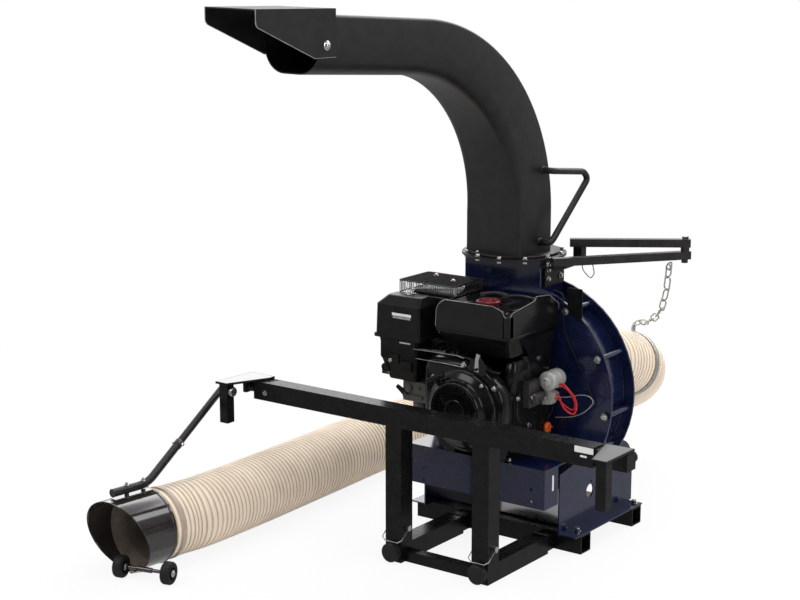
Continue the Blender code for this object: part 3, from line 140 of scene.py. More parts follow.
def turned(base, direction, profile, sides=32, bored=False):
    """Turn a profile of (radius, height) about a line. A bored piece has a closed profile."""
    base, direction = vec(*base), vec(*direction).normalized()
    level, above = across(direction)
    rings = [[base + height * direction + radius * swing(level, above, turn) for turn in turns(sides)]
            for radius, height in profile]
    return loft(rings, joined_ends=bored)


def rod(start, end, radius, sides=16):
    start, end = vec(*start), vec(*end)
    chamfer = min(radius * 0.15, (end - start).length * 0.2)
    length = (end - start).length
    return turned(start, end - start, ((radius - chamfer, 0), (radius, chamfer), (radius, length - chamfer),
            (radius - chamfer, length)), sides)


def smooth_route(points, spacing):
    """Points at even spacing along a smooth curve through the given ones."""
    points = [vec(*point) for point in points]
    fine = []
    for index in range(len(points) - 1):
        before = points[max(index - 1, 0)]
        start, end = points[index], points[index + 1]
        after = points[min(index + 2, len(points) - 1)]
        for step in range(24):
            share = step / 24
            fine.append(0.5 * (2 * start + (end - before) * share + (2 * before - 5 * start + 4 * end - after)
                    * share ** 2 + (3 * start - before - 3 * end + after) * share ** 3))
    fine.append(points[-1])
    reach = [0.0]
    for near, far in zip(fine, fine[1:]):
        reach.append(reach[-1] + (far - near).length)
    count = max(round(reach[-1] / spacing), 2)
    evenly = []
    at = 0
    for step in range(count + 1):
        goal = reach[-1] * step / count
        while at < len(fine) - 2 and reach[at + 1] < goal:
            at += 1
        share = (goal - reach[at]) / (reach[at + 1] - reach[at])
        evenly.append(fine[at].lerp(fine[at + 1], share))
    return evenly


def route_length(points):
    return sum((vec(*far) - vec(*near)).length for near, far in zip(points, points[1:]))


def sweep(points, section, joined=False):
    """Sweep a section along points without twist. section(step) gives (level, above) pairs."""
    points = [vec(*point) for point in points]
    ways = [(far - near).normalized() for near, far in zip(points, points[1:])]
    tangents = [ways[0]] + [(a + b).normalized() for a, b in zip(ways, ways[1:])] + [ways[-1]]
    level, above = across(tangents[0])
    rings = []
    for step, (point, tangent) in enumerate(zip(points, tangents)):
        if step:
            turn = tangents[step - 1].rotation_difference(tangent)
            level, above = turn @ level, turn @ above
        rings.append([point + right * level + up * above for right, up in section(step)])
    return rings if joined else loft(rings)


def round_section(radius, sides):
    return [(radius * math.cos(turn), radius * math.sin(turn)) for turn in turns(sides)]


def pipe(points, radius, sides=12):
    outline = round_section(radius, sides)
    return sweep(points, lambda step: outline)


def bent_pipe(points, radius, bend, sides=16):
    """A pipe whose corners are rounded with the given bend."""
    points = [vec(*point) for point in points]
    route = [points[0]]
    for before, corner, after in zip(points, points[1:], points[2:]):
        back, ahead = before - corner, after - corner
        reach = min(bend, back.length * 0.45, ahead.length * 0.45)
        start, end = corner + back.normalized() * reach, corner + ahead.normalized() * reach
        for step in range(7):
            share = step / 6
            route.append(start.lerp(corner, share).lerp(corner.lerp(end, share), share))
    route.append(points[-1])
    return pipe(route, radius, sides)


def arc(centre, radius, first, last, steps):
    angles = [math.radians(first + (last - first) * step / steps) for step in range(steps + 1)]
    return [(centre[0] + radius * math.cos(angle), centre[1] + radius * math.sin(angle)) for angle in angles]


def rounded(x0, x1, y0, y1, corner, steps=6):
    """Rectangle with round corners, counterclockwise."""
    return (arc((x1 - corner, y0 + corner), corner, 270, 360, steps) + arc((x1 - corner, y1 - corner), corner,
            0, 90, steps) + arc((x0 + corner, y1 - corner), corner, 90, 180, steps) +
            arc((x0 + corner, y0 + corner), corner, 180, 270, steps))


def stack(levels, steps=6):
    """Loft round-cornered rectangles given as (z, x0, x1, y0, y1, corner)."""
    return loft([place("Z", z, rounded(*sides, steps)) for z, *sides in levels])


def washer(base, direction, inner, outer, length, sides=32):
    return turned(base, direction, ((inner, 0), (outer, 0), (outer, length), (inner, length)), sides,
            bored=True)


def moved(shape, matrix):
    bmesh.ops.transform(shape, verts=shape.verts, matrix=matrix)
    return shape


def on_shaft(radius, degrees, y):
    """A point at a radius and an angle about the engine's shaft."""
    turn = math.radians(degrees)
    return radius * math.cos(turn), y, SHAFT_Z + radius * math.sin(turn)


def bolt(at, direction, radius=0.006, height=0.005, shank=0.0):
    """Hex bolt head on a washer. A shank sinks it into what it holds."""
    at, direction = vec(*at), vec(*direction).normalized()
    base = at - direction * shank
    flat = radius * 0.92
    shells = [turned(base, direction, ((radius * 0.5, 0), (radius * 0.5, shank + height * 0.3)),
            12)] if shank else []
    shells.append(turned(at, direction, ((radius * 1.25, 0), (radius * 1.3, 0.0004), (radius * 1.3, 0.0011),
            (radius * 1.2, 0.0014)), 24))
    shells.append(turned(at + direction * 0.0012, direction, ((radius, 0), (radius, height * 0.8),
            (flat, height), (flat * 0.55, height * 1.02)), 6))
    return shells


def bolts(spots, direction, *sizes):
    return [shell for at in spots for shell in bolt(at, direction, *sizes)]


# Materials

def node(tree, kind, operation=None, **starts):
    """A shader node with its operation and starting values; To_Min=1 sets the input named To Min."""
    new = tree.nodes.new("ShaderNode" + kind)
    if operation:
        new.operation = operation
    for key, value in starts.items():
        new.inputs[key.replace("_", " ")].default_value = value
    return new


def finish(name, colour, roughness, metallic=0.0, colour_spread=0.25, colour_scale=30.0, rough_spread=0.08,
        bump_scale=900.0, bump_depth=0.00004, coat=0.0, specular=0.5, grain=None, fleck=None):
    """Procedural surface: colour patches, uneven gloss and a fine bump, with an optional broad grain."""
    made = bpy.data.materials.new(name)
    made.use_nodes = True
    made.diffuse_color = (*colour, 1.0)
    tree = made.node_tree
    join = tree.links.new
    shader = tree.nodes["Principled BSDF"]
    for key, value in (("Metallic", metallic), ("Coat Weight", coat), ("Coat Roughness", 0.08),
            ("Specular IOR Level", specular)):
        shader.inputs[key].default_value = value
    place = node(tree, "TexCoord").outputs["Object"]

    def noise(scale, detail, rough):
        new = node(tree, "TexNoise", Scale=scale, Detail=detail, Roughness=rough)
        join(place, new.inputs["Vector"])
        return new.outputs["Fac"]

    def ramp(source, *stops):
        new = node(tree, "ValToRGB")
        for element, (position, shade) in zip(new.color_ramp.elements, stops):
            element.position, element.color = position, (*shade, 1)
        join(source, new.inputs["Fac"])
        return new.outputs["Color"]

    def bump(height, depth):
        new = node(tree, "Bump", Strength=1.0, Distance=depth)
        join(height, new.inputs["Height"])
        return new

    low = [c * (1 - colour_spread) for c in colour]
    high = [min(c * (1 + colour_spread) + 0.002, 1.0) for c in colour]
    colour_out = ramp(noise(colour_scale, 5.0, 0.62), (0.32, low), (0.68, high))
    if fleck is not None:
        fleck_colour, fleck_scale, amount = fleck
        blend = node(tree, "Mix")
        blend.data_type = "RGBA"
        blend.inputs[7].default_value = (*fleck_colour, 1)
        join(ramp(noise(fleck_scale, 3.0, 0.7), (0.6, (0, 0, 0)), (0.74, (amount,) * 3)), blend.inputs[0])
        join(colour_out, blend.inputs[6])
        colour_out = blend.outputs[2]
    join(colour_out, shader.inputs["Base Color"])
    spread = node(tree, "MapRange", To_Min=max(roughness - rough_spread, 0.02),
            To_Max=min(roughness + rough_spread, 1.0))
    join(noise(colour_scale * 2.3, 4.0, 0.6), spread.inputs["Value"])
    join(spread.outputs["Result"], shader.inputs["Roughness"])
    out = bump(noise(bump_scale, 2.0, 0.5), bump_depth)
    if grain is not None:
        scale, depth = grain
        fine, out = out, bump(noise(scale, 3.0, 0.55), depth)
        join(fine.outputs["Normal"], out.inputs["Normal"])
    join(out.outputs["Normal"], shader.inputs["Normal"])
    return made


# Each finish: colour, roughness and what differs from a plain one
FINISHES = {
    "powder_black": ((0.005, 0.005, 0.005), 0.28, dict(specular=0.2, bump_scale=1400, bump_depth=0.00003,
    rough_spread=0.08, fleck=((0.03, 0.029, 0.027), 90.0, 0.25))),
    "navy_gloss": ((0.0045, 0.008, 0.036), 0.16, dict(coat=0.35, specular=0.4, bump_scale=500,
    bump_depth=0.00003, rough_spread=0.05)),
    "chute_black": ((0.009, 0.009, 0.0098), 0.4, dict(specular=0.45, bump_scale=1800, bump_depth=0.00005,
    grain=(9.0, 0.0006))),
    "rubber": ((0.01, 0.0095, 0.0095), 0.6, dict(specular=0.35, bump_scale=1200, bump_depth=0.0001,
    fleck=((0.05, 0.045, 0.04), 120.0, 0.3))),
    "zinc": ((0.62, 0.62, 0.6), 0.26, dict(metallic=1.0, colour_spread=0.12, colour_scale=140,
    rough_spread=0.1, bump_depth=0.00003)),
    "engine_black": ((0.0042, 0.0042, 0.0042), 0.2, dict(coat=0.12, specular=0.28, bump_scale=700,
    bump_depth=0.00004)),
    # Cast metal grey, which also paints the highlight arcs along the recoil ring's edges
    "casting": ((0.11, 0.11, 0.105), 0.44, dict(metallic=0.7, bump_scale=900, bump_depth=0.00025,
    fleck=((0.04, 0.035, 0.03), 200.0, 0.5))),
    "engine_plastic": ((0.005, 0.005, 0.005), 0.32, dict(specular=0.25, bump_scale=2200, bump_depth=0.00008)),
    "cap_red": ((0.13, 0.006, 0.01), 0.3, dict(bump_scale=1500, bump_depth=0.00005)),
    "cable_red": ((0.46, 0.008, 0.014), 0.34, dict(colour_spread=0.1, bump_scale=900)),
    "starter_grey": ((0.46, 0.46, 0.44), 0.4, dict(metallic=0.35, colour_spread=0.1, bump_scale=900,
    bump_depth=0.0001, fleck=((0.22, 0.21, 0.2), 150.0, 0.4))),
    "starter_dark": ((0.06, 0.06, 0.058), 0.34, dict(metallic=0.5, coat=0.2, bump_scale=900,
    bump_depth=0.0001, fleck=((0.02, 0.02, 0.02), 150.0, 0.4))),
    "arm_grey": ((0.016, 0.014, 0.013), 0.26, dict(specular=0.45, bump_scale=1200, bump_depth=0.00004,
    fleck=((0.06, 0.055, 0.05), 110.0, 0.3))),
    "hose_tan": ((0.9, 0.775, 0.625), 0.4, dict(colour_spread=0.05, colour_scale=14, bump_scale=600,
    bump_depth=0.00006)),
    "hose_valley_brown": ((0.6, 0.455, 0.33), 0.42, dict(colour_spread=0.12, colour_scale=14, bump_scale=600)),
    "nozzle_dark": ((0.024, 0.02, 0.018), 0.12, dict(coat=1.0, bump_scale=400, bump_depth=0.00003,
    rough_spread=0.04)),
    # Darker brown for the sleeve inside the nozzle: painted shade of the hose's inside
    "hose_inside_shade": ((0.17, 0.135, 0.108), 0.5, dict(bump_scale=400, bump_depth=0.00003)),
    "plate_gloss": ((0.016, 0.016, 0.016), 0.1, dict(specular=0.5, coat=0.6, bump_scale=700,
    bump_depth=0.00001, rough_spread=0.03)),
    "steel": ((0.38, 0.38, 0.37), 0.38, dict(metallic=1.0, colour_scale=80)),
    "filler_orange": ((0.62, 0.1, 0.015), 0.45, dict(bump_scale=1500, bump_depth=0.00005)),
    "cable_black": ((0.008, 0.008, 0.008), 0.42, dict(specular=0.4, bump_scale=1500)),
    "label_pale": ((0.72, 0.72, 0.7), 0.45, dict(colour_spread=0.04, bump_scale=1200)),
    "clamp_tan": ((0.47, 0.385, 0.315), 0.34, dict(metallic=0.1, colour_spread=0.12, colour_scale=60,
    bump_scale=300)),
    # Pale grey, which also paints the highlight lines along the deflector cap's and the tank shroud's edges
    "rim_grey": ((0.33, 0.33, 0.32), 0.32, dict(metallic=0.2, colour_spread=0.3, colour_scale=60,
    bump_scale=1200)),
    "bright_steel": ((0.7, 0.7, 0.68), 0.18, dict(metallic=1.0, colour_spread=0.06, colour_scale=120,
    rough_spread=0.06)),
}
LOOKS = {name: finish(name, colour, roughness, **more)
        for name, (colour, roughness, more) in FINISHES.items()}

SLOT_OF = {item["node"]: item["material_slot"] for item in frame["record"]["subparts"]}
# Soft edges on the carried-over solids: the bevel's width in metres for each finish
EDGE = {"powder_black": 0.0022, "navy_gloss": 0.0009, "chute_black": 0.001, "arm_grey": 0.0016,
        "engine_black": 0.0016, "casting": 0.0008, "starter_grey": 0.0015, "engine_plastic": 0.0014}


def soften(obj, width, segments=2):
    change = obj.modifiers.new("edge", "BEVEL")
    change.width = width
    change.segments = segments
    change.limit_method = "ANGLE"
    change.angle_limit = math.radians(38)
    change.harden_normals = True


for name, obj in nodes.items():
    slot = SLOT_OF[name]
    obj.data.materials.clear()
    obj.data.materials.append(LOOKS[slot])
    if slot in EDGE:
        soften(obj, EDGE[slot])


def piece(name, look, shells, body="skid", replaces=(), edge=0.0, smooth=40, segments=2, second=None):
    """One object from shells. second is (look, function of a face's index) for a second finish."""
    whole = bmesh.new()
    for shell in shells:
        bmesh.ops.recalc_face_normals(shell, faces=shell.faces)
        part = bpy.data.meshes.new("shell")
        shell.to_mesh(part)
        shell.free()
        whole.from_mesh(part)
        bpy.data.meshes.remove(part)
    mesh = bpy.data.meshes.new(name)
    whole.to_mesh(mesh)
    whole.free()
    mesh.materials.append(LOOKS[look])
    if second is not None:
        mesh.materials.append(LOOKS[second[0]])
        for face in mesh.polygons:
            face.material_index = 1 if second[1](face.index) else 0
    mesh.shade_smooth()
    mesh.set_sharp_from_angle(angle=math.radians(smooth))
    obj = bpy.data.objects.new(name, mesh)
    scene.collection.objects.link(obj)
    if edge:
        soften(obj, edge, segments)
    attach(obj, body)
    if replaces:
        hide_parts(*replaces)
    return obj


# Chute

def chute_frame(d, side, z):
    """A point d in front of the chute's turning axis, side to its right and z above the floor."""
    out = vec(-math.sin(CHUTE_TURN), -math.cos(CHUTE_TURN), 0)
    across_way = vec(math.cos(CHUTE_TURN), -math.sin(CHUTE_TURN), 0)
    return vec(CHUTE_X, CHUTE_Y, z) + d * out + side * across_way


def chute_rings(inset):
    """Cross sections of the chute's tube from the flange to its end, drawn in by an inset."""
    start = NECK_TOP + 0.0066 + 0.002
    line = [(CHUTE_OFFSET, start), (CHUTE_OFFSET, start + 0.055), (CHUTE_OFFSET, BEND_Z)]
    line += arc((CHUTE_OFFSET + BEND_RADIUS, BEND_Z), BEND_RADIUS, 180, 90 + math.degrees(CHUTE_RISE), 48)[1:]
    last = line[-1]
    for reach in (0.25, 0.5, 0.75, 1.0):
        d = last[0] + (CHUTE_REACH - last[0]) * reach
        line.append((d, last[1] + (d - last[0]) * math.tan(CHUTE_RISE)))
    rings = []
    for index, (d, z) in enumerate(line):
        near = line[max(index - 1, 0)]
        far = line[min(index + 1, len(line) - 1)]
        way = vec(far[0] - near[0], far[1] - near[1]).normalized()
        outward = vec(-way.y, way.x)
        share = max(0.0, (index - 2) / (len(line) - 3))
        top, low = 0.007 - inset * 0.5, 0.009 + 0.06 * share - inset
        w, h = CHUTE_WIDTH / 2 - inset, CHUTE_DEPTH / 2 - inset
        corners = (arc((w - top, h - top), top, 0, 90, 4) + arc((-w + top, h - top), top, 90, 180, 4) +
                arc((-w + low, -h + low), low, 180, 270, 10) + arc((w - low, -h + low), low, 270, 360, 10))
        rings.append([chute_frame(d + up * outward.x, side, z + up * outward.y) for side, up in corners])
    return rings


def chute():
    shell = loft(chute_rings(0) + chute_rings(CHUTE_WALL)[::-1], joined_ends=True)
    base = NECK_TOP + 0.0063
    outer = RING_RADIUS - 0.018
    # Flange with a square inside that ends at the tube's walls
    half_depth, half_width = 0.069, 0.0935
    reaches = []
    for turn in turns(144):
        d, side = math.cos(turn), math.sin(turn)
        wall = CHUTE_OFFSET + (half_depth if d > 0 else -half_depth)
        reaches.append((turn, min(wall / d if abs(d) > 1e-6 else 1.0, half_width / max(abs(side), 1e-6),
                outer - 0.003)))
    flange = loft([[chute_frame((rim or reach) * math.cos(turn), (rim or reach) * math.sin(turn),
            base + height) for turn, reach in reaches] for rim, height in ((None, 0), (outer - 0.0008, 0),
            (outer, 0.0008), (outer, 0.0052), (outer - 0.0008, 0.006), (None, 0.006))], joined_ends=True)
    piece("chute_tube", "chute_black", [shell, flange], "chute", replaces=("chute_elbow",), smooth=50)

    heads = []
    for sign in (-1, 1):
        face = chute_frame(CAP_PIVOT[0], sign * (CAP_HALF + CAP_WALL + 0.0004), CAP_PIVOT[1])
        way = chute_frame(0, sign, 0) - chute_frame(0, 0, 0)
        heads.append(turned(face - way * 0.006, way, ((0.0055, 0), (0.0055, 0.008)), 16))
        heads.append(turned(face, way, ((0.0105, 0), (0.0112, 0.0006), (0.0112, 0.0018), (0.0104, 0.0024)),
                32))
        heads.append(turned(face + way * 0.002, way, ((0.008, 0), (0.0078, 0.0022), (0.0062, 0.0042),
                (0.0036, 0.0054), (0.0014, 0.0057)), 24))
    for degrees in (208, 244):
        turn = math.radians(degrees)
        heads += bolt((CHUTE_X + 0.119 * math.cos(turn), CHUTE_Y + 0.119 * math.sin(turn), base + 0.006), UP,
                0.004, 0.003, 0.002)
    piece("chute_pivot_bolts", "bright_steel", heads, "chute")

    # Thin light grey lines along the deflector cap's sheet edges: painted highlights
    edges = []
    for side, shift in ((CAP_HALF + CAP_WALL / 2, 0.0), (-CAP_HALF - CAP_WALL / 2, 0.022)):
        way = [(0.798, 1.3516), (0.8675 - shift, 1.3514), (1.0455 - shift, 1.4283), (1.0506 - shift, 1.4345),
                (1.0516 - shift, 1.441), (1.0516 - shift, 1.4685 - 0.024 * shift)]
        edges.append(pipe([chute_frame(d, side, z) for d, z in way], 0.0013, 8))
    piece("cap_edge_highlights", "rim_grey", edges, "deflector", smooth=60)

    # Ring bolts with nuts under the neck flange
    fastened = []
    circle = RING_RADIUS - 0.01
    for turn in turns(12, 0.5):
        x, y = CHUTE_X + circle * math.cos(turn), CHUTE_Y + circle * math.sin(turn)
        fastened += bolt((x, y, NECK_TOP + 0.0061), UP, 0.0058, 0.0055, 0.004)
        fastened.append(turned((x, y, NECK_TOP - 0.0062), UP,
                ((0.0054, 0), (0.0062, 0.0008), (0.0062, 0.0056)), 6))
    piece("chute_ring_bolts", "zinc", fastened)

    off = CHUTE_WIDTH / 2
    route = [(0.0, off + 0.0005, 1.005), (-0.002, off + 0.033, 1.005), (-0.14, off + 0.034, 0.99),
            (-0.158, off + 0.034, 0.968), (-0.006, off + 0.034, 0.817), (0.008, off + 0.033, 0.809),
            (0.01, off + 0.0005, 0.809)]
    bar = bent_pipe([chute_frame(*point) for point in route], 0.009, 0.02, 20)
    feet = []
    for d, z in ((0.0, 1.005), (0.01, 0.809)):
        way = chute_frame(0, 1, 0) - chute_frame(0, 0, 0)
        feet.append(turned(chute_frame(d, off + 0.0003, z), way,
                ((0.01, 0), (0.0118, 0.0006), (0.0108, 0.003), (0.009, 0.005)), 32))
    piece("chute_handle_bar", "chute_black", [bar, *feet], "chute", replaces=("chute_handle",))


# Boom: hose sling, chain, bolts and wire clip

def link(near, far, wide_way, width, wire, sides=10, steps=9):
    """A chain link that reaches a wire's half beyond both points."""
    long_way = (far - near).normalized()
    wide_way = (wide_way - long_way * wide_way.dot(long_way)).normalized()
    centre = (near + far) / 2
    length = (far - near).length + wire
    straight = (length - width) / 2
    radius = (width - wire) / 2
    path = []
    for sign in (1, -1):
        for step in range(steps):
            turn = math.pi * (step / (steps - 1) - 0.5)
            path.append(centre + sign * long_way * (straight + radius * math.cos(turn)) + sign * wide_way *
                    radius * math.sin(turn))
    normal = long_way.cross(wide_way)
    rings = []
    for index, point in enumerate(path):
        before, after = path[index - 1], path[(index + 1) % len(path)]
        outward = normal.cross((after - before).normalized())
        rings.append([point + wire / 2 * swing(outward, normal, turn) for turn in turns(sides)])
    return loft(rings, joined_ends=True)


def boom():
    top = vec(0.316, 0.341, 0.7452)
    route = smooth_route(HOSE_ROUTE, 0.0125)
    at = min(route, key=lambda point: abs(point.y - 0.64) + (0 if point.z > 0.3 else 1))
    index = route.index(at)
    way = (route[index + 1] - route[index - 1]).normalized()
    side, above = across(way)
    inner = HOSE_RADIUS + 0.0004
    band = turned(at - way * 0.01, way, ((inner, 0.0004), (inner + 0.0024, 0), (inner + 0.003, 0.0008),
            (inner + 0.003, 0.0192), (inner + 0.0024, 0.02), (inner, 0.0196)), 96, bored=True)
    foot = at + above * (inner + 0.001)
    low = foot + above * 0.026
    ear = bent_pipe([foot - way * 0.009, foot - way * 0.008 + above * 0.018, low + above * 0.004,
            foot + way * 0.008 + above * 0.018, foot + way * 0.009], 0.003, 0.01, 12)
    lug = prism("X", -0.002, 0.002, ((-0.012, 0), (0.012, 0), (0.009, 0.016), (-0.009, 0.016)))
    turn = Matrix((side, way, above)).transposed().to_4x4()
    lug = moved(lug, Matrix.Translation(foot) @ turn)
    piece("hose_sling", "zinc", [band, ear, lug], replaces=("hose_strap",), edge=0.0005)

    points = []
    count = 9
    sag = vec(0.034, -0.01, -0.046)
    for number in range(count + 1):
        share = number / count
        points.append(top.lerp(low, share) + sag * math.sin(math.pi * share))
    links = []
    wire = 0.0045
    for number, (near, far) in enumerate(zip(points, points[1:])):
        long_way = (far - near).normalized()
        sway, rise = across(long_way)
        tilt = math.radians(38 + 90 * (number % 2) + 7 * math.sin(number * 1.9))
        wide = swing(sway, rise, tilt)
        reach = wire * 0.42
        links.append(link(near - long_way * reach, far + long_way * reach, wide, 0.0225, wire))
    eye = bent_pipe([top + vec(0, 0, -0.002), top + vec(0.004, 0.002, -0.01), top + vec(0.001, 0.001, -0.02),
            top + vec(-0.006, -0.002, -0.013)], 0.0025, 0.006, 10)
    piece("lift_chain", "zinc", links + [eye], replaces=("chain",))
    piece("boom_bolt_head", "zinc", bolt((0.345, 0.375, 0.8112), UP, 0.0075, 0.006))

    # Bracket bolts and the wire clip beside the neck
    heads = bolts([(x, y, 0.7553) for x, y in ((0.112, 0.1), (0.118, 0.17), (0.109, 0.215), (0.092, 0.075))],
            UP, 0.0062, 0.0055)
    heads += bolts([(0.0754, y, z) for z in (0.712, 0.738) for y in (0.1, 0.165)], RIGHT, 0.006, 0.0055)
    piece("boom_bracket_bolts", "zinc", heads)
    clip = bent_pipe([(0.118, 0.205, 0.749), (0.118, 0.214, 0.722), (0.138, 0.222, 0.7), (0.15, 0.222, 0.716),
            (0.146, 0.216, 0.745)], 0.0016, 0.01, 8)
    piece("wire_clip", "zinc", [clip])


# Fan housing fasteners

BOLT_CIRCLE = 0.284


def housing():
    heads = []
    for degrees in (-7, 25, 57, 142, 172, 200, 236, 270, 304, 332):
        x, y, z = on_shaft(BOLT_CIRCLE, degrees, 0.0608)
        if z < 0.253 and abs(x) > 0.2015:
            continue
        heads += bolt((x, y, z), FRONT, 0.0082, 0.0045) + bolt((x, 0.1953, z), BACK, 0.0076, 0.006)
    piece("housing_bolts", "zinc", heads)
    plate = prism("Y", 0.0645, 0.0668, ((0.159, 0.64), (0.205, 0.61), (0.205, 0.7), (0.203, 0.704),
            (0.161, 0.704), (0.159, 0.702)))
    piece("housing_tab", "engine_black", [plate], edge=0.0005)
    sleeves = [washer(on_shaft(BOLT_CIRCLE, degrees, 0.0755), BACK, 0.0054, 0.0085, 0.113, 20)
            for degrees in (-7, 25, 57, 142, 172, 200)]
    piece("housing_spacers", "navy_gloss", sleeves)
    # Bead along the wrapper's edges
    beads = [pipe([on_shaft(0.2695, degrees, y) for degrees in range(-218, 72, 4)], 0.002, 6)
            for y in (0.0775, 0.1865)]
    piece("wrapper_welds", "navy_gloss", beads)
    feet = [(sign * x, y, 0.0552) for sign in (-1, 1) for x, y in ((0.243, 0.0), (0.251, 0.298))]
    piece("foot_bolts", "bright_steel", bolts(feet, UP, 0.0078, 0.0078))


# Engine

def fuel_tank():
    """Fuel tank: tub, flange and upper shell, with a sunk top behind the shroud panels."""
    cap_at = (0.026, -0.118, 0.67)
    tank = stack(((0.5402, -0.082, 0.112, -0.144, 0.042, 0.01), (0.544, -0.088, 0.118, -0.15, 0.048, 0.012),
            (0.592, -0.098, 0.128, -0.175, 0.057, 0.012), (0.5955, -0.1, 0.13, -0.178, 0.059, 0.012),
            (0.5965, -0.104, 0.133, -0.1815, 0.0625, 0.012), (0.603, -0.104, 0.133, -0.1815, 0.0625, 0.012),
            (0.6042, -0.099, 0.128, -0.176, 0.058, 0.012), (0.606, -0.097, 0.126, -0.173, 0.056, 0.012),
            (0.66, -0.096, 0.124, -0.171, 0.055, 0.012), (0.669, -0.091, 0.119, -0.166, 0.052, 0.012),
            (0.6705, -0.088, 0.116, -0.163, 0.049, 0.012)), 4)
    neck = turned((0.026, -0.118, 0.669), UP, ((0.031, 0), (0.031, 0.003), (0.028, 0.0055)), 40)
    piece("tank_shell", "engine_black", [tank, neck], replaces=("fuel_tank",), edge=0.001, smooth=40)

    # Shroud panels that stand proud of the tank at the front, on the left and on the right
    front = prism("Y", -0.1836, -0.1766, ((-0.0985, 0.604), (-0.096, 0.655), (-0.0895, 0.67), (-0.07, 0.684),
            (0.084, 0.685), (0.112, 0.675), (0.118, 0.664), (0.12, 0.604)))
    corner = prism("Z", 0.604, 0.661, ((0.114, -0.1836), (0.125, -0.1836), (0.1326, -0.176), (0.1326, -0.16),
            (0.126, -0.16), (0.114, -0.17)))
    side = prism("X", 0.1262, 0.1326, ((-0.176, 0.604), (-0.178, 0.661), (-0.166, 0.67), (-0.056, 0.685),
            (-0.05, 0.695), (0.017, 0.688), (0.062, 0.658), (0.068, 0.604)))
    left = prism("X", -0.103, -0.098, ((-0.172, 0.604), (-0.17, 0.66), (-0.16, 0.672), (0.048, 0.672),
            (0.056, 0.656), (0.058, 0.604)))
    ledge = [box((0.105, -0.156, 0.669), (0.128, -0.057, 0.6755)),
            box((0.108, -0.049, 0.669), (0.128, 0.02, 0.685)),
            box((-0.088, -0.1735, 0.67), (0.094, -0.164, 0.679))]
    piece("tank_shroud", "engine_black", [front, corner, side, left, *ledge], edge=0.0011, segments=3,
            smooth=30)
    # Thin light grey lines along the shroud panels' edges: painted highlights
    shroud_highlights = [bent_pipe(place("Y", -0.184, ((-0.0985, 0.61), (-0.0962, 0.655), (-0.0897, 0.6704),
            (-0.07, 0.6846), (0.084, 0.6856), (0.1124, 0.6756), (0.119, 0.662))) + [(0.125, -0.1842, 0.66)],
            0.0006, 0.003, 8),
            bent_pipe(place("X", 0.133, ((-0.177, 0.66), (-0.166, 0.6705), (-0.056, 0.6855), (-0.05, 0.6956),
            (0.017, 0.6886), (0.0624, 0.6584), (0.065, 0.64))), 0.0006, 0.003, 8)]
    piece("shroud_edge_highlights", "rim_grey", shroud_highlights)

    cap = [turned(cap_at, UP, ((0.026, 0), (0.027, 0.003), (0.0318, 0.0042), (0.0325, 0.006), (0.0322, 0.012),
            (0.0295, 0.015), (0.0235, 0.016), (0.022, 0.0145), (0.01, 0.0145), (0.008, 0.0167),
            (0.003, 0.0172)), 48)]
    for index in range(24):
        grip = box((0.0315, -0.0012, 0.0055), (0.0335, 0.0012, 0.0125))
        cap.append(moved(grip, Matrix.Translation(cap_at) @ Matrix.Rotation(index * math.pi / 12, 4, "Z")))
    piece("tank_cap", "cap_red", cap, "fuel_cap", replaces=("fuel_cap",), edge=0.0006)
    # Black vent hose and its holder on the tank's sunk top
    hose_way = smooth_route(((-0.023, -0.08, 0.686), (0.018, -0.066, 0.692), (0.06, -0.074, 0.69)), 0.002)
    vent = [sweep(hose_way, lambda step: round_section(0.0072 if step % 2 else 0.0062, 16)),
            bent_pipe([(0.056, -0.073, 0.69), (0.086, -0.066, 0.694), (0.109, -0.055, 0.69),
            (0.118, -0.03, 0.68)], 0.0048, 0.012, 14), box((-0.02, -0.09, 0.67), (-0.006, -0.066, 0.688)),
            box((0.046, -0.086, 0.67), (0.062, -0.062, 0.69)),
            box((-0.01, -0.1, 0.669), (0.07, -0.03, 0.6735))]
    piece("tank_vent", "cable_black", vent, edge=0.0008)


def tank_cradle():
    """Tank bracket that flares under the tub, and the cowl on the right of the cylinder."""
    flare = stack(((0.4765, 0.1, 0.1262, -0.08, 0.04, 0.012), (0.52, 0.1, 0.1262, -0.082, 0.042, 0.012),
            (0.5392, 0.1, 0.1262, -0.098, 0.047, 0.012)), 5)
    cowl = stack(((0.444, 0.092, 0.1195, -0.142, 0.038, 0.014), (0.476, 0.09, 0.1245, -0.145, 0.042, 0.016),
            (0.518, 0.09, 0.1245, -0.138, 0.042, 0.016), (0.53, 0.092, 0.12, -0.128, 0.036, 0.014)), 6)
    wing = prism("X", 0.1262, 0.129, ((-0.118, 0.588), (-0.066, 0.529), (0.03, 0.529), (0.052, 0.588)))
    piece("tank_cradle", "engine_black", [flare, cowl, wing], edge=0.0014)
    studs = bolt((0.1248, -0.024, 0.524), RIGHT, 0.006, 0.006) + bolt((0.1248, 0.02, 0.486), RIGHT, 0.005,
            0.005)
    studs.append(washer((0.1252, -0.024, 0.524), RIGHT, 0.003, 0.0095, 0.002, 24))
    piece("cradle_studs", "zinc", studs)


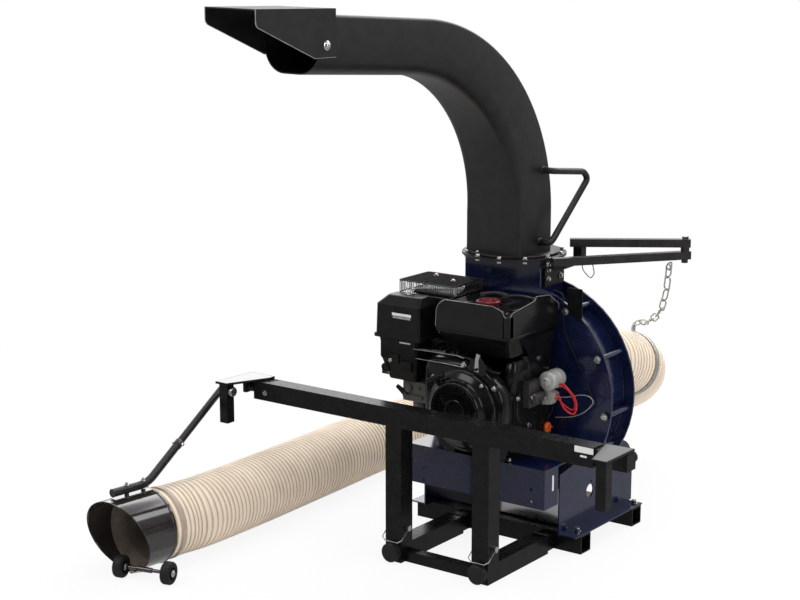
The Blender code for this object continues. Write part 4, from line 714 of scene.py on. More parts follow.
def air_cleaner():
    """Air cleaner: square cover with cut corners over a wide flange."""
    def eight(levels):
        return loft([place("Z", z, ((x0 + c, y0), (x1 - c, y0), (x1, y0 + c), (x1, y1 - c), (x1 - c, y1),
                (x0 + c, y1), (x0, y1 - c), (x0, y0 + c))) for z, x0, x1, y0, y1, c in levels])
    cover = eight(((0.5552, -0.299, -0.147, -0.189, -0.091, 0.005), (0.5565, -0.301, -0.145, -0.1915, -0.089,
            0.005), (0.5655, -0.301, -0.145, -0.1915, -0.089, 0.005), (0.567, -0.2965, -0.149, -0.188, -0.092,
            0.005), (0.648, -0.2945, -0.151, -0.187, -0.093, 0.006), (0.6705, -0.274, -0.164, -0.164, -0.112,
            0.008), (0.6715, -0.27, -0.168, -0.16, -0.116, 0.008)))
    ridges = [box((-0.242, -0.1895, 0.611), (-0.174, -0.1862, 0.6125)),
            box((-0.242, -0.1895, 0.6305), (-0.174, -0.1862, 0.632))]
    piece("air_cover", "engine_plastic", [cover, *ridges], replaces=("air_cleaner_cover",), edge=0.0014,
            smooth=25)
    piece("air_cover_plate", "label_pale", [box((-0.239, -0.1896, 0.6215), (-0.176, -0.188, 0.629))],
            edge=0.0003)
    piece("air_cover_strip", "rim_grey", [box((-0.236, -0.1896, 0.614), (-0.178, -0.188, 0.62))], edge=0.0003)
    body = eight(((0.44, -0.256, -0.174, -0.172, -0.116, 0.006), (0.442, -0.26, -0.17, -0.176, -0.113, 0.006),
            (0.496, -0.282, -0.163, -0.183, -0.1075, 0.006), (0.5, -0.286, -0.161, -0.1845, -0.1065, 0.006),
            (0.543, -0.286, -0.161, -0.1845, -0.1065, 0.006), (0.555, -0.288, -0.158, -0.186, -0.103, 0.006)))
    lumps = [box((-0.252, -0.1885, 0.488), (-0.218, -0.182, 0.512)),
            box((-0.21, -0.1885, 0.47), (-0.176, -0.18, 0.496)),
            box((-0.288, -0.17, 0.448), (-0.27, -0.14, 0.462))]
    snout = [turned((-0.268, -0.178, 0.47), (0, -1, -0.2), ((0.013, -0.004), (0.013, 0.004), (0.01, 0.006),
            (0.009, 0.002)), 24)]
    piece("air_base", "engine_plastic", [body, *lumps, *snout], replaces=("air_cleaner_base",), edge=0.0012,
            smooth=25)
    metal = [box((-0.216, -0.1862, 0.546), (-0.18, -0.185, 0.55))]
    metal += bolts(((-0.245, -0.1886, 0.495), (-0.26, -0.179, 0.456)), FRONT, 0.0042, 0.0032)
    piece("air_base_metal", "bright_steel", metal)
    knob_at = vec(-0.222, -0.128, 0.6723)
    knob = [turned(knob_at, UP, ((0.014, 0), (0.0145, 0.0008), (0.014, 0.0016), (0.007, 0.002),
            (0.006, 0.0075), (0.004, 0.01)), 24)]
    for sign in (-1, 1):
        knob.append(bent_pipe([knob_at + vec(sign * x, 0, z) for x, z in ((0.003, 0.006), (0.014, 0.012),
                (0.013, 0.018), (0.006, 0.016), (0.001, 0.008))], 0.0014, 0.003, 8))
    piece("air_wing_knob", "zinc", knob, "air_knob", replaces=("air_cleaner_knob",))


def muffler():
    """Muffler guard: wire cage over a plate."""
    x0, x1, y0, y1, z0, z1 = -0.292, -0.1035, -0.088, 0.054, 0.6605, 0.6965
    cage = []
    for level in (z0 + 0.0015, z1):
        cage.append(bent_pipe([(x0 + 0.1, y0, level), (x0, y0, level), (x0, y1, level), (x1, y1, level),
                (x1, y0, level), (x0 + 0.1, y0, level)], 0.0018, 0.012, 8))
    count = 30
    for step in range(1, count):
        x = x0 + (x1 - x0) * step / count
        cage.append(bent_pipe([(x, y0, z0), (x, y0, z1), (x, y1, z1), (x, y1, z0)], 0.0009, 0.008, 6))
    for step in range(1, 20):
        y = y0 + (y1 - y0) * step / 20
        cage.append(bent_pipe([(x0, y, z0), (x0, y, z1 + 0.0012), (x1, y, z1 + 0.0012), (x1, y, z0)], 0.0009,
                0.008, 6))
    tray = [stack(((0.6604, -0.27, -0.112, -0.066, 0.052, 0.01), (0.666, -0.27, -0.112, -0.066, 0.052, 0.01),
            (0.6705, -0.262, -0.118, -0.058, 0.046, 0.012)), 4)]
    piece("muffler_cage", "arm_grey", cage, replaces=("muffler_guard",))
    piece("muffler_tray", "engine_black", tray, edge=0.0008)
    piece("cage_bolts", "zinc", bolts(((-0.155, -0.02, 0.6976), (-0.24, 0.02, 0.6976)), UP, 0.005, 0.004))


def blower():
    """Blower housing with its bosses and screws."""
    shell = arc((0, SHAFT_Z), 0.126, -150, 75, 72) + [(-0.02, 0.528), (-0.105, 0.526), (-0.126, 0.518),
            (-0.135, 0.5), (-0.135, 0.38)]
    def scaled(amount):
        return [(x * amount, SHAFT_Z + (z - SHAFT_Z) * amount) for x, z in shell]
    rings = [place("Y", y, scaled(k)) for y, k in ((-0.1503, 0.985), (-0.1503, 1.0), (-0.156, 1.0),
            (-0.1565, 0.985), (-0.176, 0.98), (-0.183, 0.965), (-0.188, 0.935), (-0.19, 0.89), (-0.19, 0.66),
            (-0.187, 0.66), (-0.18, 0.93), (-0.1503, 0.955))]
    shroud = loft(rings, joined_ends=True)
    spots = ((0.096, 0.468), (0.104, 0.336), (-0.098, 0.47), (-0.094, 0.33), (0.0, 0.519))
    bosses = [turned((x, -0.182, z), FRONT, ((0.0105, 0), (0.01, 0.0085), (0.0085, 0.01)), 24)
            for x, z in spots]
    peg = [rod((0.04, -0.1885, 0.512), (0.04, -0.199, 0.512), 0.0038, 16)]
    piece("blower_shroud", "engine_black", [shroud, *bosses, *peg], replaces=("blower_housing",), edge=0.0008,
            smooth=45)
    screws = bolts([(x, -0.1922, z) for x, z in spots], FRONT, 0.0058, 0.0055)
    piece("blower_screws", "bright_steel", screws)


def recoil():
    """Recoil cover: stepped ring, curved vanes and hub."""
    y_face = -0.237
    ring = turned((0, -0.1903, SHAFT_Z), FRONT, ((0.102, 0), (0.105, 0), (0.105, 0.011), (0.1035, 0.014),
            (0.0975, 0.0185), (0.087, 0.0235), (0.0815, 0.0275), (0.079, 0.033), (0.0775, 0.043),
            (0.0755, 0.0462), (0.072, 0.0467), (0.07, 0.0455), (0.0695, 0.04), (0.0725, 0.033),
            (0.076, 0.025), (0.093, 0.017), (0.1, 0.011)), 96, bored=True)
    hub = turned((0, -0.199, SHAFT_Z), FRONT, ((0.026, 0), (0.03, 0.028), (0.0315, 0.033), (0.032, 0.037),
            (0.03, 0.0382), (0.0285, 0.037), (0.028, 0.0355), (0.008, 0.035)), 64)
    vanes = []
    for start in turns(44):
        path_in, path_out = [], []
        for step in range(7):
            share = step / 6
            radius = 0.0295 + 0.042 * share
            turn = start + math.radians(16) * share
            path_in.append((radius, turn - 0.0011 / radius))
            path_out.append((radius, turn + 0.0011 / radius))
        outline = path_in + path_out[::-1]
        vanes.append(prism("Y", y_face + 0.0012, y_face + 0.0075,
                [(radius * math.cos(turn), SHAFT_Z + radius * math.sin(turn)) for radius, turn in outline]))
    rims = [washer((0, y_face + 0.001, SHAFT_Z), BACK, 0.05, 0.052, 0.006, 72)]
    piece("recoil_grille", "engine_black", [ring, hub, *vanes, *rims], replaces=("recoil_cover",), smooth=40)
    # Thin arcs along the ring's edges: painted highlights
    shine = []
    for radius, y, start, end in ((0.1049, -0.2016, 70, 215), (0.1049, -0.2016, -75, 15),
            (0.0768, -0.2352, 40, 205), (0.0768, -0.2352, -95, 10), (0.07, -0.2362, -60, 60)):
        shine.append(pipe([on_shaft(radius, degrees, y) for degrees in range(start, end, 4)], 0.0006, 6))
    piece("recoil_edge_highlights", "casting", shine)
    hub_ring = [washer((0, -0.2376, SHAFT_Z), BACK, 0.0288, 0.0308, 0.002, 64)]
    piece("recoil_hub_ring", "arm_grey", hub_ring)
    screws = bolts([on_shaft(0.099, degrees, -0.2065) for degrees in (48, 138, 228, 318)], FRONT, 0.0046,
            0.004)
    piece("recoil_screws", "bright_steel", screws)

    pull = vec(-0.3, -0.62, 0.72).normalized()
    grip_at = vec(-0.064, -0.211, SHAFT_Z + 0.064) + pull * 0.0051
    bar_way = vec(1, 0, 0.42).normalized()
    middle_at = grip_at + pull * 0.016
    grip = [turned(grip_at, pull, ((0.0058, 0), (0.0062, 0.001), (0.0085, 0.008), (0.0085, 0.012)), 24),
            turned(middle_at - bar_way * 0.03, bar_way, ((0.004, 0), (0.0062, 0.0012), (0.0072, 0.005),
            (0.0066, 0.02), (0.0072, 0.03), (0.0066, 0.04), (0.0072, 0.055), (0.0062, 0.0588), (0.004, 0.06)),
            28)]
    piece("recoil_grip", "engine_plastic", grip, "recoil_grip", replaces=("recoil_handle",))
    mouth = [turned(grip_at - pull * 0.0004, -pull, ((0.0098, 0), (0.0105, 0.001), (0.011, 0.006)), 24)]
    piece("rope_guide", "engine_plastic", mouth)


def crankcase():
    """Crankcase dressing: side cover rib, drain bolts, oil sensor and the governor rods."""
    dressing = [turned((0.1165, -0.06, 0.4), RIGHT, ((0.06, 0), (0.058, 0.0035), (0.04, 0.0055),
            (0.036, 0.005)), 40), box((0.1172, -0.14, 0.285), (0.1215, 0.04, 0.293)),
            box((0.1172, -0.14, 0.444), (0.1215, 0.04, 0.45))]
    for x0, x1, top in ((0.1172, 0.1205, 0.442), (-0.1215, -0.1172, 0.42)):
        dressing += [box((x0, -0.132 + 0.034 * step, 0.296), (x1, -0.128 + 0.034 * step, top))
                for step in range(6)]
    piece("crankcase_ribs", "engine_black", dressing, edge=0.0012)
    hardware = bolts([(0.1216, y, z) for y, z in ((-0.118, 0.3), (-0.118, 0.43), (0.022, 0.43),
            (-0.06, 0.345))], RIGHT, 0.0056, 0.0055)
    hardware += bolts([(x, y, 0.2555) for x in (-0.1, 0.1) for y in (-0.122, 0.02)], UP, 0.0058, 0.0065)
    hardware += bolts([(x, -0.1508, 0.29) for x in (-0.07, 0.07)], FRONT, 0.0075, 0.007)
    piece("crankcase_bolts", "zinc", hardware)
    rods = [bent_pipe([(-0.184, -0.176, 0.532), (-0.164, -0.188, 0.537), (-0.02, -0.1935, 0.541),
            (0.0, -0.1925, 0.536)], 0.0013, 0.006, 10),
            bent_pipe([(-0.188, -0.17, 0.505), (-0.156, -0.188, 0.512), (-0.07, -0.1935, 0.514),
            (-0.004, -0.1925, 0.512)], 0.0011, 0.006, 8)]
    coil = [vec(-0.15, -0.188, 0.5376) + vec(0.0016 * step / 2, 0, 0.00006 * step) + 0.003 * vec(0,
            math.cos(step * 0.9), math.sin(step * 0.9)) for step in range(110)]
    rods.append(pipe(coil, 0.0006, 6))
    piece("governor_rods", "steel", rods)
    bracket = [prism("Y", -0.193, -0.1912, ((0.012, 0.5), (0.066, 0.496), (0.072, 0.524), (0.052, 0.548),
            (0.02, 0.536)))]
    piece("control_plate", "engine_black", bracket, edge=0.0006)


def carburettor():
    """Carburettor dressing, fuel line and plug lead."""
    carb = [turned((-0.178, -0.14, 0.36), UP, ((0.0185, 0), (0.0205, 0.003), (0.0205, 0.02), (0.0225, 0.022),
            (0.0225, 0.027)), 32), turned((-0.196, -0.1705, 0.42), FRONT,
            ((0.012, 0), (0.0115, 0.004), (0.006, 0.005)), 24),
            box((-0.214, -0.1745, 0.394), (-0.15, -0.17, 0.402))]
    carb += bolt((-0.178, -0.14, 0.36), (0, 0, -1), 0.006, 0.006)
    carb += bolts([(-0.16, -0.1705, z) for z in (0.424, 0.396)], FRONT, 0.0038, 0.003)
    piece("carburettor_trim", "casting", carb, edge=0.0005)
    lines = [bent_pipe([(-0.06, -0.13, 0.5405), (-0.062, -0.14, 0.52), (-0.09, -0.16, 0.47),
            (-0.13, -0.168, 0.415), (-0.15, -0.16, 0.395)], 0.004, 0.02, 12),
            bent_pipe([(0.086, -0.15, 0.5), (0.07, -0.17, 0.505), (0.02, -0.178, 0.532),
            (-0.06, -0.16, 0.534), (-0.1, -0.1, 0.52)], 0.0034, 0.024, 12)]
    piece("fuel_line", "cable_black", lines)


def starter():
    """Starter: ribbed can, solenoid, terminals and leads."""
    can = [turned((0.163, -0.05, 0.4665), BACK, ((0.009, 0), (0.0115, 0.0008), (0.0122, 0.0024),
            (0.0122, 0.006), (0.019, 0.0072), (0.024, 0.0095), (0.026, 0.013), (0.026, 0.018),
            (0.0252, 0.0185), (0.0252, 0.044), (0.026, 0.0445), (0.026, 0.064), (0.024, 0.07),
            (0.012, 0.071)), 48), turned((0.154, -0.038, 0.424), (0.25, -1, 0),
            ((0.006, 0), (0.0082, 0.001), (0.0082, 0.012), (0.006, 0.014)), 24),
            prism("Y", -0.03, -0.004, ((0.143, 0.398), (0.17, 0.402), (0.181, 0.432), (0.15, 0.446)))]
    piece("starter_body", "starter_grey", can, replaces=("starter_motor",), edge=0.001)
    nose = [turned((0.15, -0.088, 0.426), BACK, ((0.011, 0), (0.0142, 0.002), (0.0142, 0.048),
            (0.011, 0.052)), 36), box((0.1185, -0.092, 0.4), (0.142, -0.03, 0.47))]
    piece("starter_casting", "starter_dark", nose, edge=0.001)
    posts = bolt((0.146, -0.0884, 0.43), FRONT, 0.004, 0.006)
    posts += bolts([(0.163, -0.0504, z) for z in (0.4725, 0.4605)], FRONT, 0.0026, 0.0024)
    piece("starter_terminals", "bright_steel", posts)
    red = smooth_route(((0.184, -0.012, 0.456), (0.2, -0.018, 0.46), (0.214, -0.02, 0.452),
            (0.238, -0.022, 0.43), (0.245, -0.022, 0.406), (0.236, -0.022, 0.385), (0.212, -0.022, 0.392),
            (0.198, -0.022, 0.41), (0.19, -0.022, 0.428), (0.176, -0.018, 0.43)), 0.003)
    inner_red = smooth_route(((0.184, -0.008, 0.448), (0.2, -0.012, 0.45), (0.222, -0.014, 0.436),
            (0.236, -0.014, 0.41), (0.228, -0.014, 0.393), (0.206, -0.016, 0.402), (0.188, -0.018, 0.416),
            (0.174, -0.018, 0.418)), 0.003)
    piece("starter_lead", "cable_red", [pipe(red, 0.0028, 12), pipe(inner_red, 0.0021, 12)],
            replaces=("battery_cable",))
    loops = [pipe(smooth_route(((0.15, 0.02, 0.408), (0.194, 0.03, 0.414), (0.225, 0.03, 0.424),
            (0.253, 0.03, 0.424), (0.264, 0.032, 0.408), (0.24, 0.03, 0.38), (0.204, 0.03, 0.361),
            (0.15, 0.03, 0.35)), 0.005), 0.0012, 8)]
    piece("sensor_wire", "rim_grey", loops)
    black = [pipe(smooth_route(((0.128, -0.03, 0.458), (0.15, 0.0, 0.44), (0.142, 0.03, 0.4),
            (0.13, 0.04, 0.36), (0.121, 0.036, 0.345)), 0.005), 0.003, 10),
            pipe(smooth_route(((0.12, 0.058, 0.694), (0.146, 0.064, 0.68), (0.1455, 0.0662, 0.635),
            (0.156, 0.0662, 0.572), (0.191, 0.0662, 0.508), (0.227, 0.0662, 0.444), (0.243, 0.058, 0.412),
            (0.236, 0.045, 0.38), (0.19, 0.046, 0.35), (0.15, 0.05, 0.325), (0.122, 0.046, 0.31)), 0.006),
            0.002, 8)]
    piece("engine_harness", "cable_black", black)


def dipstick():
    """The oil filler's orange cap."""
    centre = vec(0, 0.03, 0.318)
    stick = [turned((0.1183, centre.y, centre.z), RIGHT, ((0.0105, 0), (0.014, 0.0025), (0.0145, 0.004),
            (0.0145, 0.009), (0.0125, 0.011), (0.006, 0.0115)), 36)]
    for index in range(2):
        wing = box((0.1285, 0.0285, 0.307), (0.1345, 0.0315, 0.329))
        stick.append(moved(wing, Matrix.Translation(centre) @ Matrix.Rotation(index * math.pi / 2, 4, "X") @
                Matrix.Translation(-centre)))
    piece("dipstick_cap", "filler_orange", stick, "dipstick", replaces=("oil_dipstick",), edge=0.0006)


# Frame dressing

def frame_details():
    # Blank pale label, slot and bolts on the beam, and a slot in the bed's side
    label = prism("Y", -0.3644, -0.364, rounded(0.443, 0.496, 0.4035, 0.419, 0.002, 3))
    piece("blank_label", "label_pale", [label])
    slot = [prism("Y", -0.3645, -0.3638, rounded(0.459, 0.478, 0.3925, 0.3975, 0.0022, 4)),
            prism("X", SIDE_X + 0.0001, SIDE_X + 0.0007, rounded(-0.1, -0.092, 0.188, 0.232, 0.0035, 4))]
    piece("beam_slot", "label_pale", slot)
    piece("beam_bolts", "zinc", bolt((-0.545, -0.3642, 0.392), FRONT, 0.0055, 0.005))
    dark = [turned((-0.54, -0.322, BEAM_TOP), UP, ((0.0075, -0.001), (0.0075, 0.0002)), 24)]
    for x, z in ((-0.168, 0.191), (-0.168, 0.156)):
        dark.append(turned((x, -0.134, z), FRONT, ((0.0038, 0), (0.0038, 0.0022), (0.003, 0.0026)), 20))
    piece("dark_plugs", "rubber", dark)
    top = BEAM_TOP + 0.0003 + 0.006
    for side, outline in (("left", ((-0.6475, -0.447), (-0.6115, -0.447), (-0.5575, -0.3294),
            (-0.5575, -0.3125), (-0.6373, -0.3125))),
            ("right", ((0.5495, -0.4595), (0.5855, -0.4595), (0.5855, -0.3295), (0.5115, -0.3325)))):
        skin = prism("Z", top - 0.0004, top + 0.0002, outline)
        piece(f"plate_top_{side}", "plate_gloss", [skin], f"bracket_{side}")
    # Weld beads where the bed, posts and feet meet
    beads = []
    for x in (-0.105, 0.17):
        beads.append(pipe([(x - 0.024, -0.073, 0.052), (x, -0.0735, 0.0524), (x + 0.024, -0.073, 0.052)],
                0.0018, 6))
    piece("weld_beads", "powder_black", beads)
    for side, body, at in (("left", "clamp_left", (-0.6157, -0.427, 0.399)),
            ("right", "clamp_right", (0.572, -0.3169, 0.3994))):
        way = vec(*RIGHT) if side == "left" else vec(*BACK)
        knob = [turned(at, way, ((0.008, 0), (0.0095, 0.003), (0.0128, 0.0042), (0.013, 0.006),
                (0.013, 0.011), (0.0118, 0.0132), (0.006, 0.014)), 32)]
        level, above = across(way)
        for turn in turns(16):
            spot = vec(*at) + way * 0.005 + 0.0126 * swing(level, above, turn)
            knob.append(turned(spot, way, ((0.0012, 0), (0.0012, 0.0065)), 6))
        piece(f"knob_{side}", "zinc" if side == "left" else "rubber", knob, body,
                replaces=(f"clamp_knob_{side}",))


# Hose, clamps and nozzle

SQUARE = ((-1, -1), (1, -1), (1, 1), (-1, 1))
# Where the handle's two bolts stand along the nozzle
HANDLE_BOLTS = (0.03, 0.084)


def hose():
    length = route_length(smooth_route(HOSE_ROUTE, 0.001))
    per_rib = 6
    points = smooth_route(HOSE_ROUTE, length / (per_rib * HOSE_RIBS))
    sides = 48
    crest = HOSE_RADIUS - 0.0003
    wave = (HOSE_VALLEY, HOSE_VALLEY + 0.0022, crest, HOSE_RADIUS, crest, HOSE_VALLEY + 0.0022)
    outer = [round_section(radius, sides) for radius in wave]
    inner = [round_section(radius - 0.0028, sides) for radius in wave]
    rings = sweep(points, lambda step: outer[step % per_rib], joined=True)
    back = sweep(points, lambda step: inner[step % per_rib], joined=True)
    shape = loft(rings + back[::-1], joined_ends=True)
    outer_faces = (len(rings) - 1) * sides

    # The valleys between the crests take a darker, browner colour than the crests
    def valley(index):
        return index < outer_faces and (index // sides) % per_rib in (0, 5)
    piece("ribbed_hose", "hose_tan", [shape], replaces=("hose",), smooth=75, second=("hose_valley_brown", valley))

    def clamp(name, look, at, axis, screw_turn, solid):
        level, above = across(axis)
        inner_radius = HOSE_RADIUS + 0.0004
        band = turned(at, axis, ((inner_radius, 0.0002), (inner_radius + 0.001, 0),
                (inner_radius + 0.0014, 0.001), (inner_radius + 0.0014, 0.011), (inner_radius + 0.001, 0.012),
                (inner_radius, 0.0118)), 96, bored=True)
        outward = swing(level, above, screw_turn)
        around = vec(*axis).cross(outward).normalized()
        centre = vec(*at) + vec(*axis) * 0.006 + outward * (inner_radius + 0.0052)
        house = rod(centre - around * 0.01, centre + around * 0.01, 0.0052, 20)
        screw = turned(centre + around * 0.01, around, ((0.003, 0), (0.003, 0.003), (0.0048, 0.0032),
                (0.0048, 0.007), (0.004, 0.0078)), 6)
        piece(name, look, [band, house, screw], replaces=(solid,))
    # The solid's hose has 140 ribs on 2.798 m, and its inlet clamp sits one and a half ribs in
    rib = 2.798 / 140
    start = vec(*HOSE_ROUTE[0]) + vec(0, 1.5 * rib - 0.006, 0)
    clamp("inlet_clamp", "bright_steel", start, vec(*BACK), math.radians(90), "hose_clamp_inlet")
    end = vec(*HOSE_ROUTE[-1])
    axis = (end - vec(*HOSE_ROUTE[-2])).normalized()
    rear = end - axis * NOZZLE_OVERLAP
    clamp("nozzle_clamp", "clamp_tan", rear - axis * 0.034, axis, math.radians(52), "hose_clamp_nozzle")


def nozzle():
    end = vec(*HOSE_ROUTE[-1])
    axis = (end - vec(*HOSE_ROUTE[-2])).normalized()
    level, above = across(axis)
    # The corners of the solid's nozzle, which has 24 sides
    flat = (HOSE_RADIUS + 0.0003) / math.cos(math.pi / 24)
    rear = end - axis * NOZZLE_OVERLAP
    sides = 112
    slope, skew = math.tan(NOZZLE_SLANT), math.tan(NOZZLE_SKEW)
    seam_turn = math.radians(196)

    def ring(radius, share, lip=0.0):
        made = []
        for turn in turns(sides):
            gap = abs((turn - seam_turn + math.pi) % (2 * math.pi) - math.pi)
            bulge = 0.0016 if gap < math.radians(3.6) else 0.0
            r = radius + (bulge if radius > flat + 0.0012 else 0.0)
            reach = (NOZZLE_LENGTH + radius * math.sin(turn) * slope + radius * math.cos(turn) * skew +
                    lip) * share
            made.append(rear + axis * reach + r * swing(level, above, turn))
        return made
    outer = flat + NOZZLE_WALL
    inner = flat + 0.0002
    rings = [ring(outer, 0.0), ring(outer, 0.015)]
    rings += [ring(outer, share / 12) for share in range(1, 12)]
    rings += [ring(outer, 0.985), ring(outer, 1.0, -0.0008), ring((outer + inner) / 2, 1.0, 0.0004),
            ring(inner, 1.0, -0.0008)]
    rings += [ring(inner, share / 12) for share in range(11, 0, -1)] + [ring(inner, 0.0)]
    body = loft(rings, joined_ends=True)
    # Rolled bead at the rear
    bead = turned(rear + axis * 0.004, axis, ((outer - 0.0005, 0), (outer + 0.0016, 0.001),
            (outer + 0.002, 0.0025), (outer + 0.0016, 0.004), (outer - 0.0005, 0.005)), 96, bored=True)
    # Brown, stepped sleeve that hides the hose's inside: painted shade, darker than the hose, for the shadow
    # deep in the hose
    shade_steps = [(0.0962, 0.066), (0.089, 0.03)] + [(0.0884 - 0.0008 * (step % 2), 0.026 - 0.0028 * step)
            for step in range(72)]
    back_side = [(radius + 0.0006, reach) for radius, reach in shade_steps[::-1]]
    inside = turned(rear, axis, [*shade_steps, *back_side], 64, bored=True)
    piece("nozzle_shade_sleeve", "hose_inside_shade", [inside], smooth=50)
    right, left = vec(*WHEEL_RIGHT, WHEEL_RADIUS), vec(*WHEEL_LEFT, WHEEL_RADIUS)
    axle_way = (right - left).normalized()
    past = WHEEL_WIDTH / 2 + 0.0038
    axle = rod(left - axle_way * past, right + axle_way * past, AXLE_RADIUS - 0.0002, 24)
    middle = (left + right) / 2
    mouth = rear + axis * NOZZLE_LENGTH
    lip = mouth - above * (outer - 0.001) - axis * 0.05
    way = middle - lip
    tongue_side = across(vec(way.x, way.y, 0))[0]
    tongue = loft([[point + a * width * tongue_side + vec(0, 0, b * 0.0016) for a, b in SQUARE]
            for point, width in ((lip, 0.024), (lip + vec(way.x, way.y, 0) * 0.45 + vec(0, 0, 0.002), 0.022),
            (middle, 0.02))])
    barrel = rod(middle - axle_way * 0.022, middle + axle_way * 0.022, 0.0072, 20)
    # Strip along the top under the handle
    strip = loft([[rear + axis * reach + above * (outer + up) + level * side
            for side, up in ((-0.013, 0.0012), (0.013, 0.0012), (0.011, 0.0042), (-0.011, 0.0042))]
            for reach in (0.006, 0.128)])
    saddle = [strip]
    for reach in HANDLE_BOLTS:
        at = rear + axis * reach + above * (outer - 0.001)
        saddle.append(turned(at, above, ((0.012, 0), (0.011, 0.003), (0.0062, 0.0034), (0.006, 0.01)), 20))
    piece("nozzle_shell", "nozzle_dark", [body, bead, axle, tongue, barrel, *saddle], replaces=("nozzle",),
            smooth=40)

    for side, centre in (("left", left), ("right", right)):
        caster(side, centre, axle_way)
    nozzle_handle(rear, axis, above, outer)


def caster(side, centre, axle_way):
    """A small wheel with tyre, rim, hub and spokes, and the nuts at its sides."""
    start = centre - axle_way * WHEEL_WIDTH / 2
    tread = ((0.0185, 0.002), (0.0205, 0.0006), (WHEEL_RADIUS - 0.005, 0.0004),
            (WHEEL_RADIUS - 0.0016, 0.0022), (WHEEL_RADIUS, 0.0055), (WHEEL_RADIUS, WHEEL_WIDTH - 0.0055),
            (WHEEL_RADIUS - 0.0016, WHEEL_WIDTH - 0.0022), (WHEEL_RADIUS - 0.005, WHEEL_WIDTH - 0.0004),
            (0.0205, WHEEL_WIDTH - 0.0006), (0.0185, WHEEL_WIDTH - 0.002))
    tyre = turned(start, axle_way, tread, 64, bored=True)
    half = WHEEL_WIDTH / 2
    barrel_rim = turned(start + axle_way * 0.002, axle_way,
            ((0.0165, 0.0), (0.0187, 0.0), (0.0187, WHEEL_WIDTH - 0.004), (0.0165, WHEEL_WIDTH - 0.004)), 48,
            bored=True)
    hub = turned(start + axle_way * 0.003, axle_way, ((AXLE_RADIUS + 0.0002, 0.0), (0.0088, 0.0),
            (0.0096, 0.002), (0.0096, WHEEL_WIDTH - 0.008), (0.0088, WHEEL_WIDTH - 0.006),
            (AXLE_RADIUS + 0.0002, WHEEL_WIDTH - 0.006)), 32, bored=True)
    level_way, up_way = across(axle_way)
    spokes = []
    for turn in turns(6):
        out = swing(level_way, up_way, turn)
        aside = axle_way.cross(out)
        spokes.append(loft([[centre + out * reach + aside * a * 0.0022 + axle_way * b * (half - 0.0055)
                for a, b in SQUARE] for reach in (0.0085, 0.0175)]))
    piece(f"caster_tyre_{side}", "rubber", [tyre, barrel_rim, hub, *spokes], f"wheel_{side}",
            replaces=(f"nozzle_wheel_{side}",))
    caps = []
    for sign in (-1, 1):
        caps.append(turned(centre + axle_way * sign * (half - 0.0012), axle_way * sign,
                ((0.0082, 0), (0.0096, 0.0006), (0.0096, 0.0016), (0.006, 0.0024), (0.0054, 0.0044),
                (0.003, 0.0056)), 32))
    piece(f"axle_nut_{side}", "bright_steel", caps)


def nozzle_handle(rear, axis, above, outer):
    """Handle tube with its bolts and end rim, and the rod that slides in it."""
    tube_radius = 0.011
    stand = outer + 0.009 + 0.0003
    foot = rear + axis * 0.02 + above * (stand + tube_radius)
    front = foot + axis * 0.11
    bend = foot - axis * 0.004
    top = vec(-0.684, -0.385, 0.39)
    way = (top - bend).normalized()
    joint = bend + way * 0.175
    tube = bent_pipe((front, bend, joint), tube_radius, 0.03, 32)
    collar = turned(joint - way * 0.02, way, ((0.011, 0), (0.0124, 0.0008), (0.0124, 0.018),
            (0.0112, 0.0198)), 32)
    rim = washer(front - axis * 0.0006, axis, 0.0078, 0.0114, 0.0016, 32)
    piece("handle_tube", "arm_grey", [tube, collar, rim], replaces=("handle_lower",), smooth=50)
    pins = []
    for reach in HANDLE_BOLTS:
        at = rear + axis * reach + above * (stand + 2 * tube_radius)
        pins += bolt(at - above * 0.0004, above, 0.005, 0.0045)
        pins.append(rod(at, at + above * 0.009, 0.0028, 12))
    level_way = across(way)[0]
    at = joint - way * 0.01
    pins += bolt(at + level_way * 0.0122, level_way, 0.0044, 0.004)
    pins += bolt(at - level_way * 0.0122, -level_way, 0.0044, 0.004)
    piece("handle_bolts", "zinc", pins)
    span = (top - joint).length
    sleeve = turned(joint + way * 0.0023, way, ((0.0086, 0), (0.01, 0.0006), (0.01, span - 0.01),
            (0.0096, span - 0.007), (0.007, span - 0.003)), 32)
    inner_rod = rod(joint - way * 0.11, joint + way * 0.006, 0.0084, 24)
    piece("handle_rod", "arm_grey", [sleeve, inner_rod], "handle", replaces=("handle_upper",), smooth=50)


# Studio

def studio_camera():
    view = bpy.data.cameras.new("camera")
    view.lens = 78.66
    view.sensor_width = 36.0
    camera = bpy.data.objects.new("camera", view)
    camera.location = (2.5193, -3.8936, 1.6447)
    camera.rotation_euler = (math.radians(78.0), 0.0, math.radians(36.4))
    view.clip_end = 100.0
    scene.collection.objects.link(camera)
    scene.camera = camera


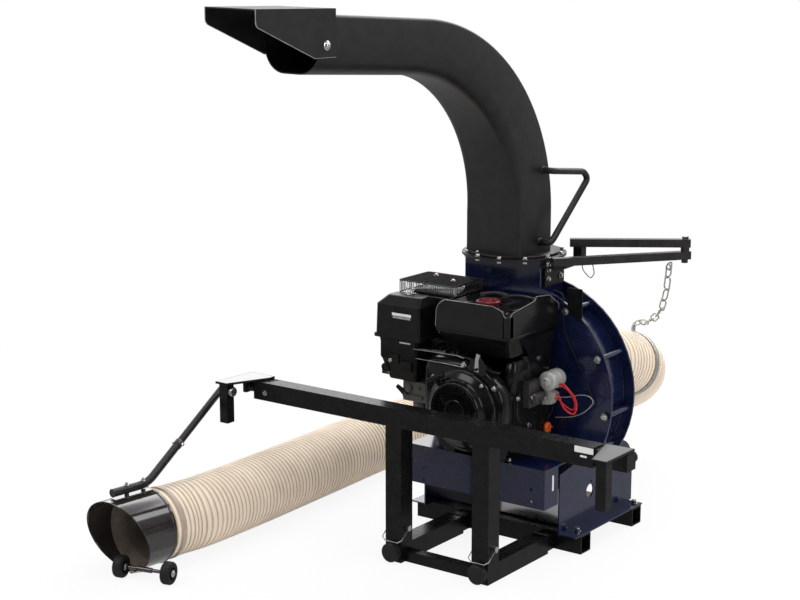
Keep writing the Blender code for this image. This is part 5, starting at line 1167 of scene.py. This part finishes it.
def studio_floor():
    """Pale floor. The camera sees a faint shadow near the machine and white beyond; mirrors see it dim."""
    floor_mesh = bpy.data.meshes.new("studio_floor")
    floor_mesh.from_pydata([(-30, -30, 0), (30, -30, 0), (30, 30, 0), (-30, 30, 0)], [], [(0, 1, 2, 3)])
    floor = bpy.data.objects.new("studio_floor", floor_mesh)
    scene.collection.objects.link(floor)
    pale = bpy.data.materials.new("pale_floor")
    pale.use_nodes = True
    tree = pale.node_tree
    join = tree.links.new
    shader = tree.nodes["Principled BSDF"]
    shader.inputs["Base Color"].default_value = (0.93, 0.93, 0.93, 1)
    shader.inputs["Roughness"].default_value = 0.9
    shader.inputs["Specular IOR Level"].default_value = 0.0
    glow = node(tree, "Emission")
    dimmed = node(tree, "MapRange", To_Min=1.0, To_Max=0.42)
    rays = node(tree, "LightPath")
    seen = node(tree, "Math", "MAXIMUM")
    share = node(tree, "Math", "MULTIPLY")
    spot = node(tree, "TexCoord")
    away = node(tree, "VectorMath", "LENGTH")
    fade = node(tree, "MapRange", From_Min=1.2, From_Max=4.0, To_Min=0.89, To_Max=1.0)
    join(spot.outputs["Object"], away.inputs[0])
    join(away.outputs["Value"], fade.inputs["Value"])
    join(fade.outputs["Result"], share.inputs[1])
    mix = node(tree, "MixShader")
    join(rays.outputs["Is Glossy Ray"], dimmed.inputs["Value"])
    join(dimmed.outputs["Result"], glow.inputs["Strength"])
    join(rays.outputs["Is Camera Ray"], share.inputs[0])
    join(share.outputs[0], seen.inputs[0])
    join(rays.outputs["Is Glossy Ray"], seen.inputs[1])
    join(seen.outputs[0], mix.inputs["Fac"])
    join(shader.outputs["BSDF"], mix.inputs[1])
    join(glow.outputs["Emission"], mix.inputs[2])
    join(mix.outputs["Shader"], tree.nodes["Material Output"].inputs["Surface"])
    floor_mesh.materials.append(pale)


def studio_world():
    """White for the camera; mirrored rays see a studio bright behind the machine and dim in front."""
    world = bpy.data.worlds.new("studio")
    world.use_nodes = True
    scene.world = world
    tree = world.node_tree
    join = tree.links.new
    back = tree.nodes["Background"]
    back.inputs["Color"].default_value = (1, 1, 1, 1)
    rays = node(tree, "LightPath")
    place = node(tree, "TexCoord")
    toward = node(tree, "VectorMath", "DOT_PRODUCT")
    toward.inputs[1].default_value = (-0.59, 0.8, 0.0)
    mirrored = node(tree, "MapRange", From_Min=-0.15, From_Max=0.65, To_Min=0.1, To_Max=0.95)
    glossy = node(tree, "Mix")
    glossy.inputs[2].default_value = 0.5
    seen = node(tree, "Math", "MAXIMUM")
    total = node(tree, "Math", "MAXIMUM")
    join(place.outputs["Generated"], toward.inputs[0])
    join(toward.outputs["Value"], mirrored.inputs["Value"])
    join(rays.outputs["Is Glossy Ray"], glossy.inputs[0])
    join(mirrored.outputs["Result"], glossy.inputs[3])
    join(rays.outputs["Is Camera Ray"], seen.inputs[0])
    join(rays.outputs["Is Transmission Ray"], seen.inputs[1])
    join(seen.outputs[0], total.inputs[0])
    join(glossy.outputs[0], total.inputs[1])
    join(total.outputs[0], back.inputs["Strength"])
    scene.view_settings.view_transform = "Standard"


def studio_lamps():
    # Each lamp: place, what it points at, width and height, watts
    for name, at, aim, size, power in (
            ("overhead", (0.2, -0.6, 3.4), (0, -0.1, 0.4), (2.6, 2.0), 36),
            ("rim", (0.2, 3.0, 3.6), (-0.3, -0.4, 0.3), (6.0, 2.2), 120),
            ("left_back", (-3.9, 3.4, 1.9), (-0.2, -0.3, 0.5), (2.4, 1.4), 16),
            ("key", (-1.6, -3.4, 3.2), (0, 0, 0.5), (2.2, 1.8), 50),
            ("side", (3.8, -0.6, 2.2), (0, 0, 0.5), (1.6, 2.2), 32)):
        light = bpy.data.lights.new(name, "AREA")
        light.shape = "RECTANGLE"
        light.size, light.size_y = size
        light.energy = power
        obj = bpy.data.objects.new(name, light)
        obj.location = at
        obj.rotation_euler = (vec(*aim) - vec(*at)).to_track_quat("-Z", "Y").to_euler()
        obj.visible_camera = False
        scene.collection.objects.link(obj)


for build in (studio_camera, studio_floor, studio_world, studio_lamps, hose, chute, boom, housing, fuel_tank,
        tank_cradle, air_cleaner, muffler, blower, recoil, crankcase, carburettor, starter, dipstick,
        frame_details, nozzle):
    build()
